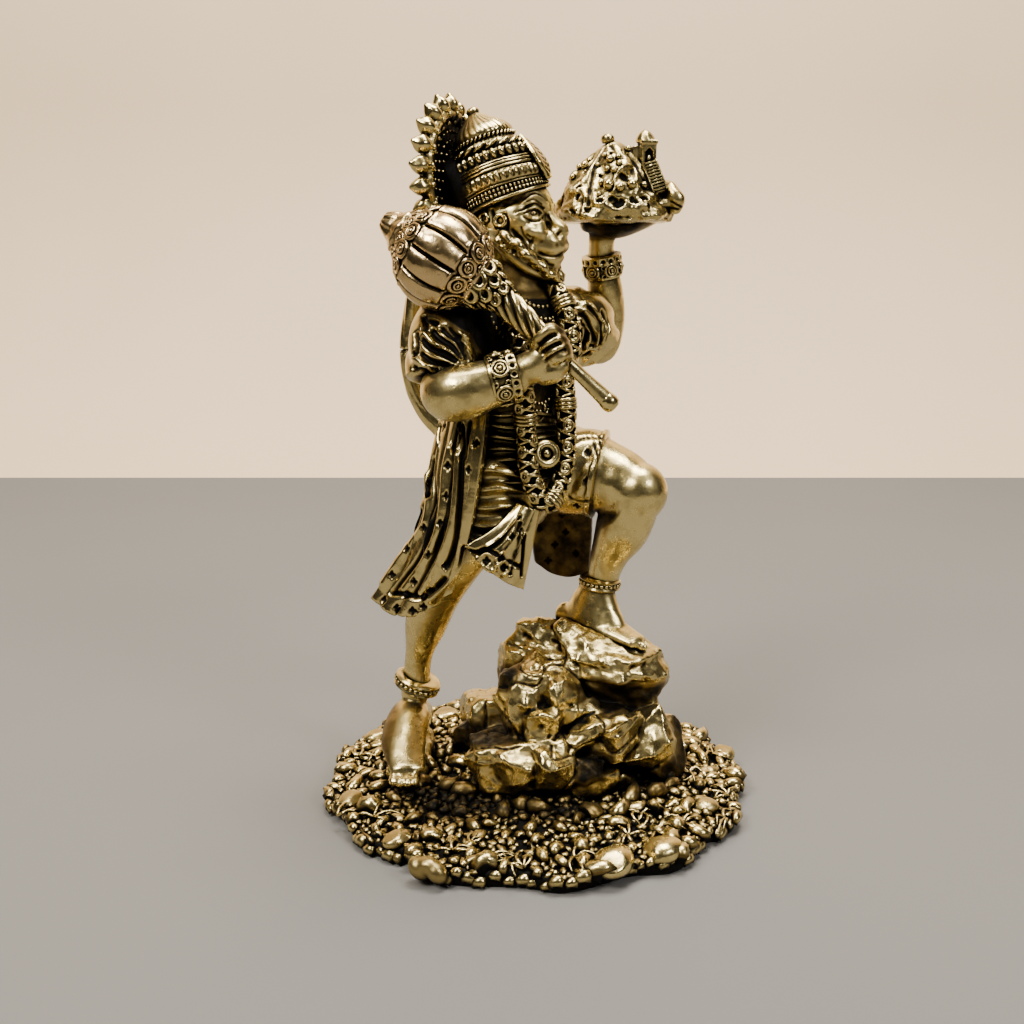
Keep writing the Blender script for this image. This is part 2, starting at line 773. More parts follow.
def worked(tree, operation, first, second, clamp=False):
    """A value worked with another, or with a number."""
    if isinstance(second, float):
        return add_node(tree, "ShaderNodeMath", {0: first}, operation=operation, use_clamp=clamp,
                        inputs={1: second}).outputs[0]
    return add_node(tree, "ShaderNodeMath", {0: first, 1: second}, operation=operation,
                    use_clamp=clamp).outputs[0]


def clouds(tree, place, scale, detail, roughness=0.5):
    """Soft noise, its blotches one part in `scale` of a metre wide."""
    return add_node(tree, "ShaderNodeTexNoise", {"Vector": place},
                    inputs={"Scale": scale, "Detail": detail, "Roughness": roughness}).outputs[0]


def bumped(tree, height, strength, distance, under=None):
    """A relief for the light only, on top of another one."""
    links = {"Height": height, "Normal": under} if under else {"Height": height}
    return add_node(tree, "ShaderNodeBump", links,
                    inputs={"Strength": strength, "Distance": distance}).outputs[0]


def antique_brass(name, bright, polish, film_gain, grain, pits, dull):
    """Lost-wax cast brass, dipped dark and rubbed back.

    The rubbed ridges are bright and mirror the lights softly, the flats keep an olive warmth, and the
    dark dip stays in every groove. The casting's skin has a fine grain and a few pits.
    """
    finish = bpy.context.scene.hero_finish
    material = bpy.data.materials.new(name)
    material.use_nodes = True
    tree = material.node_tree
    tree.nodes.clear()
    place = add_node(tree, "ShaderNodeTexCoord").outputs["Object"]
    film = add_node(tree, "ShaderNodeAttribute", attribute_name="patina").outputs["Fac"]
    wear = add_node(tree, "ShaderNodeAttribute", attribute_name="wear").outputs["Fac"]

    # How enclosed the spot is: close by for grooves, further off for hollows.
    groove, hollow = (
        add_node(tree, "ShaderNodeAmbientOcclusion", samples=6, inputs={"Distance": reach}).outputs["AO"]
        for reach in (finish.groove_reach, finish.hollow_reach)
    )
    groove_dark = ranged(tree, groove, 0.92, 0.56, 0.0, 1.0, smooth=True)
    hollow_dark = ranged(tree, hollow, 0.62, 0.22, 0.0, 1.0, smooth=True)

    # Blotches about 3 mm wide, where the dip took more or less.
    blotch = clouds(tree, place, 330.0, 3.0, 0.6)
    deepest = worked(tree, "MAXIMUM", groove_dark, hollow_dark)
    most = worked(tree, "MAXIMUM", deepest, film)
    uneven = worked(tree, "MULTIPLY", most, ranged(tree, blotch, 0.3, 0.7, 0.8, 1.2))
    dark = worked(tree, "MULTIPLY", uneven, film_gain, clamp=True)

    # Colour: ridge, flat, groove.
    half = ranged(tree, dark, 0.0, 0.38, 0.0, 1.0)
    tarnish = ranged(tree, blotch, 0.42, 0.68, 0.0, 0.42)
    unrubbed = ranged(tree, wear, 0.0, 0.8, dull, 0.0)
    to_aged = worked(tree, "MAXIMUM", worked(tree, "MAXIMUM", half, tarnish), unrubbed)
    warm = add_node(tree, "ShaderNodeMix", {0: to_aged}, data_type="RGBA",
                    inputs={6: bright, 7: finish.aged}).outputs[2]
    black = ranged(tree, dark, 0.3, 0.85, 0.0, 1.0, smooth=True)
    colour = add_node(tree, "ShaderNodeMix", {0: black, 6: warm}, data_type="RGBA",
                      inputs={7: finish.patina}).outputs[2]

    # Polish: the film is rough, and the hand leaves smears and unrubbed spots.
    rough = ranged(tree, dark, 0.0, 1.0, finish.polished_roughness / polish, finish.patina_roughness)
    rough = worked(tree, "ADD", rough, ranged(tree, blotch, 0.3, 0.75, -0.04, 0.1), clamp=True)
    rough = worked(tree, "ADD", rough, worked(tree, "MULTIPLY", unrubbed, 0.16), clamp=True)
    metal = ranged(tree, black, 0.0, 1.0, 1.0, 0.85)

    # The casting's skin: hand-smoothed waves of 3 mm, grain of 0.8 mm, and pits of about 0.4 mm.
    cells = add_node(tree, "ShaderNodeTexVoronoi", {"Vector": place},
                     inputs={"Scale": 420.0}).outputs["Distance"]
    bump = bumped(tree, clouds(tree, place, 300.0, 1.0, 0.4), 0.5, 0.0005)
    bump = bumped(tree, clouds(tree, place, 1200.0, 2.0), grain, 0.00012, bump)
    bump = bumped(tree, ranged(tree, cells, 0.03, 0.16, 0.0, 1.0, smooth=True), pits, 0.00012, bump)
    shader = add_node(tree, "ShaderNodeBsdfPrincipled",
                      {"Base Color": colour, "Roughness": rough, "Metallic": metal, "Normal": bump})
    add_node(tree, "ShaderNodeOutputMaterial", {"Surface": shader.outputs[0]})
    return material


def metal(kind):
    """One of the brass's six finishes: rubbed bright, rubbed skin, the smoother face, the rosier mace,
    hewn stone and dark ground. Each has a word for its name, then how polished it is, how much of the
    dark film shows, its grain, its pits and how dull it is where nothing rubs it."""
    finish = bpy.context.scene.hero_finish
    kinds = {
        "polished": ("rubbed", 1.0, 1.0, 0.3, 0.2, 0.15),
        "rosy": ("rosy", 1.0, 1.05, 0.45, 0.3, 0.25),
        "skin": ("rubbed by hand", 0.74, 0.95, 0.28, 0.18, 0.08),
        "face": ("rubbed smooth", 0.6, 0.84, 0.25, 0.1, 0.0),
        "stone": ("hewn", 1.0, 1.05, 0.4, 0.3, 0.4),
        "ground": ("dark ground", 0.85, 1.5, 0.5, 0.3, 0.7),
    }
    word, *values = kinds[kind]
    name = "antiqued cast brass, " + word
    bright = tuple(finish.rosy if kind == "rosy" else finish.polished)
    return bpy.data.materials.get(name) or antique_brass(name, bright, *values)


def hand_over(piece, kind="polished", angle=None, keep=1.0, hollows=(0.1, 0.45)):
    """Gives a finished piece its metal and its place in the part, and thins its faces to the share
    `keep`. Edges sharper than `angle` degrees stay sharp. `hollows` is explained at age."""
    take(piece)
    if angle is None:
        bpy.ops.object.shade_smooth()
    else:
        bpy.ops.object.shade_smooth_by_angle(angle=math.radians(angle))
    age(piece, hollows)
    if keep < 1:
        with_modifier(piece, "DECIMATE", ratio=keep)
    piece.data.materials.clear()
    piece.data.materials.append(metal(kind))
    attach(piece, "root")
    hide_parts(SOLID)
    return piece


# The figure's own pieces.


def foot_way(right):
    """Where a foot points."""
    return direction(0.07, -1, -0.3) if right else direction(0.78, -0.62, -0.12)


def grip_way():
    """Where the mace's handle points in the fist."""
    return direction(0.74, -0.12, -0.66)


class HERO_OT_body(bpy.types.Operator):
    """Trunk, bare legs and arms, feet and hands, melted into one skin and carved"""

    bl_idname = "hero.body"
    bl_label = "Body"

    # The dull side of the near foot and the dark palm under the mountain, as the eye sees them.
    foot_side = (
        (-35.4, 21.3), (-31.4, 21.9), (-30.5, 18.2), (-30.9, 14.5), (-32.3, 9.0), (-32.8, 3.9),
        (-34.5, 4.2), (-35.7, 9.0), (-36.2, 15.9)
    )
    knee_fold = ((11.7, 63.5), (14.9, 64.3), (18.3, 64.1), (16.6, 61.9), (14.0, 60.5), (13.0, 56.4),
                 (12.4, 53.3), (11.8, 57.9))
    fist_side = ((3.0, 106.5), (5.7, 105.0), (7.3, 98.6), (6.0, 97.9), (4.6, 102.8), (2.6, 105.2))
    palm_side = (
        (8.6, 125.9), (13.4, 126.2), (23.6, 126.9), (23.3, 125.1), (19.5, 122.7), (14.6, 121.8),
        (9.5, 122.1)
    )

    def trunk_and_legs(self):
        """Trunk, neck, both legs and both feet."""
        shapes = [
            limb(spots((-4.7, 0, 61), (-4.7, 0, 69), (-4.6, 0, 77), (-4.3, 0, 85), (-4, 0, 93),
                       (-3.8, 0, 100), (-3.8, 0, 105), (-4.2, 0, 109), (-3.4, -0.4, 116)),
                 [(8, 6.5), (12.2, 10.2), (10.8, 9), (11, 9.2), (13.6, 9.6), (15.6, 9.3), (14.2, 8.2),
                  (7.6, 6.6), (5.4, 5.4)], sides=40, rings=60, across=CHEST_LEFT),
            limb(spots((-13.4, -4, 59), (-18.4, -3.4, 50.4), (-22, -1, 43.4), (-24.6, 2, 35),
                       (-26.5, 4.4, 27), (-27.6, 5.4, 17)), [7.4, 6.2, 5.6, 4.7, 3.1, 3.3]),
            limb(spots((-27, 8.5, 11.5), (-28.6, 3, 12.4), (-29.4, -5, 10.2), (-27.8, -13.4, 7.2)),
                 [(3.6, 3.6), (4.4, 4.8), (3.3, 5), (1.7, 4)]),
            limb(spots((-1, 4, 70), (8, 3.2, 70), (15.6, 1.2, 68.6), (21.6, -2.4, 66)),
                 [9.3, 9.1, 8.9, 8.7, 7.7, 7.2, 6.4], across=CHEST_LEFT),
            ball(at(21.8, -2.8, 66.2), (6.3, 6.1, 6.5)),
            limb(spots((21.2, -2.6, 67), (18.8, -0.6, 58), (16.2, 1.8, 51), (14.3, 3, 43)),
                 [6.2, 6, 4.2, 3.2], across=CHEST_LEFT),
            limb(spots((14.4, 3, 45), (13.4, 3.2, 40), (12.9, 2.6, 34)), [(3.4, 3.2), (6, 3.6), (8.8, 4.2)],
                 across=foot_way(False), domes=(0.3, 0.05)),
            limb(spots((6.6, 8.2, 36), (11.5, 4.2, 35.4), (17, -0.6, 34.6), (22, -5.2, 33.4)),
                 [(2.6, 3.0), (2.8, 3.8), (2.2, 4.1), (1.3, 3.0)]),
            limb(spots((6.0, 8.8, 33.2), (11.5, 4.4, 32.4), (17, -0.4, 31.6), (22.6, -5.6, 30.6)),
                 [(0.55, 3.0), (0.6, 4.6), (0.6, 4.8), (0.5, 3.2)], domes=(0.8, 0.8)),
        ]
        toes = [(22.9, -6.0, 32.6), (22.6, -4.0, 32.6), (22.0, -2.2, 32.6)]
        shapes += [ball(at(*toe), (1.5, 1.0, 1.0), foot_way(False), segments=16, rings=10) for toe in toes]
        toes = [(-30.9, -15.2, 5.6), (-29.3, -15.9, 5.6), (-27.6, -16.0, 5.6), (-26.1, -15.4, 5.6)]
        shapes += [ball(at(*toe), (1.7, 1.0, 1.1), foot_way(True), segments=16, rings=10) for toe in toes]
        return shapes

    def arms(self):
        """Forearms, raised arm, palm, and the fist with its four fingers and thumb."""
        shapes = [
            limb(spots((-17.4, -16, 93), (-17.8, -20, 89.4), (-15.4, -21.8, 89.6), (-9.8, -21.8, 91.2),
                       (-4, -21, 93)), [5, 5.4, 5.5, 4.8, 3.7]),
            limb(spots((10, 14, 98.6), (14.8, 19.6, 95.8), (16, 19.8, 100.6), (15.6, 18.2, 108),
                       (14.4, 16, 117), (14.8, 15, 123)),
                 [4.4, 4, 4.2, 4, 2.8, 3.2], across=CHEST_FORWARD),
            limb(spots((11, 14, 122.6), (17, 13.6, 121.8), (23, 12.6, 123), (27.6, 11.6, 124.6)),
                 [(1.8, 4), (2.4, 5), (1.7, 4.6), (1, 3.6)]),
            ball(at(2.4, -20.6, 98.2), (4.6, 2.9, 2.9), grip_way()),
            limb(spots((-3.4, -21.2, 93.7), (-0.7, -21.8, 95.0), (0.5, -22.2, 97.0), (0.4, -22.0, 99.0)),
                 [3.2, 3.3, 2.9, 2.0]),
            limb(spots((0.3, -21.6, 93.1), (2.5, -22.2, 94.1), (4.5, -22.0, 95.4)), [2.4, 2.7, 2.0]),
        ]
        fingers = (
            ((-1.0, -23.6, 98.9), (0.3, -25.4, 100.8), (2.0, -25.4, 102.0), (3.7, -24.2, 101.4),
             (4.6, -22.6, 100.1)),
            ((0.3, -24.0, 97.9), (1.7, -25.7, 99.4), (3.3, -25.5, 100.2), (4.7, -24.0, 99.7),
             (5.2, -22.4, 98.7)),
            ((1.2, -24.0, 96.3), (2.7, -25.7, 97.9), (4.2, -25.4, 98.7), (5.3, -24.0, 98.3),
             (5.7, -22.4, 97.4)),
            ((2.1, -23.8, 95.6), (3.5, -25.2, 96.5), (4.7, -25.0, 97.1), (5.5, -23.8, 97.0),
             (5.8, -22.6, 96.4)),
        )
        thumb = (-0.5, -18.2, 100.5), (2.5, -18.0, 101.8), (4.2, -18.4, 100.8)
        tips = (0.9, 0.9)
        for finger in fingers:
            shapes.append(limb(spots(*finger), [1.0, 0.98, 0.92, 0.86, 0.7],
                               sides=20, rings=22, domes=tips))
        shapes.append(limb(spots(*thumb), [1.1, 1.1, 0.7], sides=16, rings=14, domes=tips))
        return shapes

    def execute(self, context):
        voxel = mm("skin_voxel")
        skin = melted(self.trunk_and_legs(), "body", voxel, smooth=4)
        arms = melted(self.arms(), "arms_and_hands", 0.75 * voxel, smooth=2)
        near = surface_of(arms)
        gaps = (
            ((0.6, 100.3), (2.2, 101.7), (4.0, 102.5)), ((1.1, 98.7), (3.3, 100.1), (5.0, 100.7)),
            ((2.0, 97.1), (4.2, 98.5), (6.0, 99.3)),
        )
        wrinkle = ((0.0, 99.2), (0.4, 100.0), (0.2, 100.5))
        crease = ((13.0, 63.2), (14.6, 64.0), (16.6, 64.2))
        carve(arms, gaps, deep=(0.34, 0.6))
        press(arms, all_drawn(near, [wrinkle]), 0.3, 0.2, film=0.5)
        press(skin, all_drawn(surface_of(skin), [crease]), 0.5, 0.22, film=0.45)
        self.blacken(skin)
        shade(skin, (self.foot_side,), film=0.42, soft=1.0)
        shade(skin, (self.knee_fold,), film=0.75, soft=0.5)
        shade(arms, (self.palm_side,), film=0.8, soft=1.0)
        shade(arms, (self.fist_side,), film=0.6, soft=0.5)
        hand_over(skin, "skin", keep=0.38)
        hand_over(arms, "skin", keep=0.6)
        self.necklaces(skin)
        return {"FINISHED"}

    def blacken(self, skin):
        """Leaves the dip on the chest, the sides and the neck, where no cloth can rub."""
        points = corners(skin)
        low, neck, high = (at(0, 0, z)[2] for z in (83, 107, 117))
        cover = np.clip((points[:, 2] - low) / 3, 0, 1) * np.clip((high - points[:, 2]) / 3, 0, 1)
        cover *= np.clip(0.75 - 0.6 * corner_normals(skin)[:, 1], 0.35, 1)
        cover *= np.where(points[:, 2] > neck, 0.62, 1.0)
        cloudy = np.array([noise.noise(Vector(q * 0.35)) for q in points])
        set_film(skin, np.maximum(dark_film(skin)[0], cover * (0.86 + 0.3 * cloudy)))

    def necklaces(self, skin):
        """Rows of small beads and leaf drops on the chest, and the rims of the sash under them."""
        surface = surface_of(skin)
        rows = (
            ((-4.7, 111.5), (-2.2, 109.2), (0.8, 108.2), (4.1, 109.0)),
            ((-3.6, 109.0), (-0.7, 106.4), (2.3, 105.7), (4.8, 106.8)),
            ((-2.5, 106.8), (0.4, 104.2), (3.0, 103.5), (4.9, 104.2)),
            ((-10.2, 107.2), (-8.4, 103.5), (-5.8, 101.0), (-3.6, 100.2)),
            ((-4.0, 91.7), (-1.4, 88.6), (1.3, 88.0), (3.9, 90.3)),
            ((-3.6, 89.5), (-0.6, 86.5), (2.0, 86.5), (4.2, 88.6)),
        )
        beads = []
        for line in all_drawn(surface, rows, spacing=0.85):
            beads += [placing(place, UP, (0.4, -0.9, 0), 0.4) for place in line]
        drops = (
            (-5.7, 102.1), (-5.1, 101.3), (-4.2, 101.0), (-4.7, 99.7), (-3.8, 99.3), (-5.5, 100.2),
            (-2.9, 98.4), (-0.7, 105.0), (1.5, 103.9), (3.4, 105.0), (-1.7, 88.0), (-0.2, 85.6),
            (1.6, 87.1), (3.1, 85.6),
        )
        for _, centre, normal in each_seen(surface, drops):
            beads.append(placing(centre, UP, normal, (0.9, 0.5, 0.5)))
        hand_over(repeated(bead_shape(), beads, "chest_beads"))
        rims = (
            ((5.3, 91.0), (2.4, 86.5), (-0.6, 82.8), (-3.6, 81.2)),
            ((-5.5, 107.2), (-5.7, 103.5), (-5.2, 98.4)),
        )
        bars = [wire(line[::len(line) // 5], 0.34, spacing=0.4)
                for line in all_drawn(surface, rims) if len(line) > 12]
        if bars:
            hand_over(joined(bars, "sash_rims"))


class HERO_OT_head(bpy.types.Operator):
    """Head with its carved face, ears, hair locks and the fringe of beard"""

    bl_idname = "hero.head"
    bl_label = "Head"

    # The carving of the near side as the eye sees it: width, depth, dark film, sketches.
    face_cuts = (
        (0.36, -0.34, 0.0, (
            ((-2.8, 129.5), (-1.5, 130.4), (-0.3, 130.6), (1.1, 129.8), (1.7, 128.9)),)),
        (0.95, -0.28, 0.0, (
            ((-4.0, 126.0), (-2.2, 124.5), (-0.4, 123.6), (1.7, 122.7), (4.0, 121.4)),)),
        (0.45, -0.3, 0.0, (
            ((1.9, 128.4), (2.6, 126.8), (3.8, 125.2), (5.2, 124.5)),)),
        (0.9, -0.2, 0.0, (
            ((2.7, 119.8), (4.2, 119.8), (5.4, 120.6)),)),
        (0.3, -0.3, 0.0, (
            ((-4.3, 127.2), (-2.8, 127.6), (-1.6, 128.2), (-0.4, 128.4), (0.5, 127.9), (1.1, 127.1)),
            ((-2.2, 126.9), (-1.3, 126.2), (0.1, 126.2), (0.8, 126.7)))),
        (0.24, 0.34, 0.95, (
            ((-2.8, 130.1), (-1.6, 131.0), (-0.6, 131.2), (0.6, 130.8), (1.8, 129.6)),
            ((-2.2, 129.5), (-0.7, 130.0), (0.9, 129.0)))),
        (0.26, 0.42, 1.0, (
            ((-4.5, 127.4), (-3.0, 128.0), (-1.6, 128.8), (0.0, 129.0), (1.3, 128.1)),)),
        (0.22, 0.3, 1.0, (
            ((-2.8, 127.2), (-1.6, 127.7), (-0.4, 127.9), (0.7, 127.3)),
            ((-2.8, 126.5), (-1.3, 125.7), (0.2, 125.7), (1.1, 126.2)))),
        (0.2, 0.2, 1.0, (
            ((-1.5, 127.3), (-0.8, 127.9), (-0.1, 127.3), (-0.8, 126.8), (-1.5, 127.3)),)),
        (0.3, 0.3, 0.9, (
            ((-0.8, 127.3),),)),
        (0.75, 1.2, 1.0, (
            ((4.7, 123.4),),)),
        (0.34, 0.45, 1.0, (
            ((2.1, 125.1), (2.6, 124.2), (3.4, 123.5), (4.4, 122.3)),)),
        (0.75, 0.16, 0.35, (
            ((-0.4, 121.9), (1.0, 121.4), (2.7, 120.8)),)),
        (0.5, 0.25, 0.7, (
            ((4.0, 120.9),),)),
        (0.3, 0.45, 1.0, (
            ((0.5, 119.1), (1.8, 118.7), (3.3, 118.5), (4.7, 118.8), (5.5, 119.5)),)),
        (0.4, 0.25, 0.6, (
            ((-0.8, 122.3), (-1.3, 120.9), (-1.3, 119.2), (0.2, 117.9)),)),
        (0.28, 0.3, 0.8, (
            ((-3.4, 124.5), (-2.8, 122.7), (-1.4, 121.4)),
            ((-2.2, 122.9), (-1.4, 122.4)),
            ((2.2, 126.8), (2.6, 125.7)))),
        (0.42, 0.42, 0.9, (
            ((1.2, 117.1), (3.3, 116.6)),)),
        (0.45, 0.45, 0.85, (
            ((-5.2, 123.7), (-3.4, 121.7), (-2.2, 120.3), (-1.0, 118.4), (1.2, 117.2)),)),
        (0.6, 0.5, 0.9, (
            ((-6.9, 129.0), (-5.4, 129.5), (-3.4, 130.5)),)),
        (0.4, 0.6, 1.0, (
            ((-9.5, 127.7), (-9.0, 126.2), (-8.3, 124.5)),
            ((-6.9, 126.8), (-6.3, 125.2), (-6.6, 123.7)))),
    )

    @staticmethod
    def in_head(fore, right, high):
        """A point of the head: forward, to the right and up from its middle."""
        return at(*HEAD_MIDDLE) + (HEAD_FORWARD * fore + HEAD_RIGHT * right + UP * high) * unit()

    def part(self, fore, right, high, half, forward=HEAD_FORWARD, upward=UP):
        """A ball of the head."""
        return ball(self.in_head(fore, right, high), half, forward, upward, 28, 18)

    def skull(self):
        """Skull, brows, cheeks, nose, muzzle, lips and jaw."""
        shapes = [
            self.part(0, 0, 0, (8.8, 8.2, 10)),
            self.part(3.0, 0, 4.4, (6.2, 6.6, 5.2)),
            self.part(7.0, 0, -3.8, (5.8, 5.2, 3.3)),
            self.part(8.6, 0, -2.6, (4.0, 4.2, 2.6)),
            self.part(6.6, 0, -7.4, (4.7, 4.3, 2.5)),
            self.part(8.0, 0, -8.9, (2.7, 2.9, 1.9)),
            self.part(11.5, 0, -1.2, (1.45, 2.2, 1.25)),
            self.part(7.4, 0, -6.0, (4.6, 4.4, 2.6)),
        ]
        bridge = [self.in_head(*p) for p in ((7.8, 0, 4.4), (8.5, 0, 2.4), (10.0, 0, 0.6), (11.6, 0, -0.9))]
        shapes.append(limb(bridge, [1.5, 1.2, 1.3, 1.5], sides=20, rings=20))
        for side in (1, -1):
            brow = [self.in_head(*p) for p in ((8.0, side * 1.6, 3.2), (7.8, side * 3.2, 4.3),
                                              (6.6, side * 4.9, 4.6), (4.6, side * 6.3, 3.7))]
            shapes.append(limb(brow, [0.6, 0.75, 0.7, 0.4], sides=16, rings=20, domes=(0.8, 0.8)))
            shapes.append(self.part(5.3, side * 4.7, -1.2, (3.4, 2.6, 2.3), direction(0.9, -0.4, -0.25)))
            shapes.append(self.part(6.2, side * 4.15, 2.0, (1.6, 1.8, 1.4)))
            shapes.append(self.part(6.6, side * 4.0, -1.2, (3.0, 2.4, 3.2)))
            shapes.append(self.part(3.6, side * 5.0, -4.6, (4.2, 2.5, 3.4), direction(0.8, -0.3, -0.5)))
            shapes.append(self.part(2.4, side * 5.9, 1.2, (4.4, 2.2, 3.8)))
            shapes.append(self.part(11.2, side * 1.5, -1.5, (1.2, 0.9, 0.85)))
            jaw = [self.in_head(*p) for p in ((-1.6, side * 8.0, -1.6), (1.6, side * 7.6, -4.6),
                                             (5.6, side * 5.2, -8.2), (8.8, side * 1.4, -10.1))]
            shapes.append(limb(jaw, [0.9, 1.0, 1.1, 1.0], sides=16, rings=24))
        return shapes

    def lines(self, surface, sketches):
        """Lines drawn on the near side of the face, and the same on the far side."""
        near = all_drawn(surface, sketches)
        return near + [across_head(line) for line in near]

    def locks(self, surface):
        """Flame-shaped locks along the jaw and the roped rim behind them, on both sides."""
        fringe = (
            (-6.6, 122.3), (-5.2, 121.4), (-4.0, 120.5), (-2.8, 119.4), (-1.6, 118.3), (-0.2, 117.4),
             (0.9, 116.6), (2.0, 115.8), (3.0, 114.8),
        )
        shapes = []
        for index, (x, z) in enumerate(fringe):
            spot = seen(surface, x, z)
            if spot is None:
                continue
            centre, normal = spot
            way = direction(0.62, -0.25, -0.72 + 0.5 * (index % 2))
            centre = centre + UP * (0.35 - 0.7 * (index % 2)) * unit()
            curl = [centre - way * 1.7, centre + 0.5 * normal - way * 0.6,
                    centre + 0.7 * normal + way * 0.7, centre + 0.3 * normal + way * 2.0]
            shapes.append(limb(curl, [0.55, 1.05, 1.0, 0.35], sides=14, rings=14))
        rim = spots((-8.3, -8.2, 119.1), (-6.9, -8.0, 117.3), (-5.3, -7.6, 115.9), (-3.5, -7.0, 114.6),
                    (-1.2, -6.2, 113.2), (1.0, -5.4, 112.2), (2.9, -4.6, 111.2))
        shapes.append(limb(rim, [0.7, 0.85, 0.9, 0.9, 0.9, 0.9, 0.8], sides=20, rings=60,
                           relief=lambda t, a: 0.2 * np.cos(60 * t + 2 * a)))
        for shape in shapes[:]:
            other = shape.copy()
            other.data = shape.data.copy()
            bpy.context.collection.objects.link(other)
            set_corners(other, across_head(corners(other)))
            other.data.flip_normals()
            shapes.append(other)
        return shapes

    def execute(self, context):
        face = melted(self.skull(), "head", 0.24 * unit(), smooth=3)
        surface = surface_of(face)
        for width, depth, film, sketches in self.face_cuts:
            press(face, self.lines(surface, sketches), width, depth, film=film)
        hand_over(face, "face", keep=0.75, hollows=(0.5, 1.3))
        locks = melted(self.locks(surface), "beard_fringe", 0.24 * unit(), smooth=1)
        hand_over(locks, keep=0.7, hollows=(0.2, 0.6))
        self.ear_rings(surface)
        return {"FINISHED"}

    def ear_rings(self, surface):
        """The ring of each ear and the curled end of each temple lock."""
        rows = []
        marks = ((-7.7, 125.7, 1.1), (-11.0, 126.2, 0.95))
        for (_, _, size), centre, normal in each_seen(surface, marks):
            rows.append(placing(centre + 0.2 * normal, np.cross(normal, UP), normal, size * unit()))
            place = across_head(centre[None])[0]
            out = normal - 2 * (normal @ HEAD_RIGHT) * HEAD_RIGHT
            rows.append(placing(place + 0.2 * out, np.cross(out, UP), out, size * unit()))
        hand_over(repeated(ring_shape(0.42, 20, 10), rows, "ear_rings"))


def pressed_flat(points, centre, axis, share):
    """Points pressed together along a direction to a share of their distance from a centre."""
    away = (points - centre) @ axis
    return points - (1 - share) * away[:, None] * axis


def sharp(wave, power=2.2):
    """A cosine made into broad ridges with narrow valleys."""
    return 1 - 2 * ((1 - wave) / 2) ** power


def narrow(wave, power=1.8):
    """A cosine made into narrow ridges with broad valleys."""
    return 2 * ((1 + wave) / 2) ** power - 1


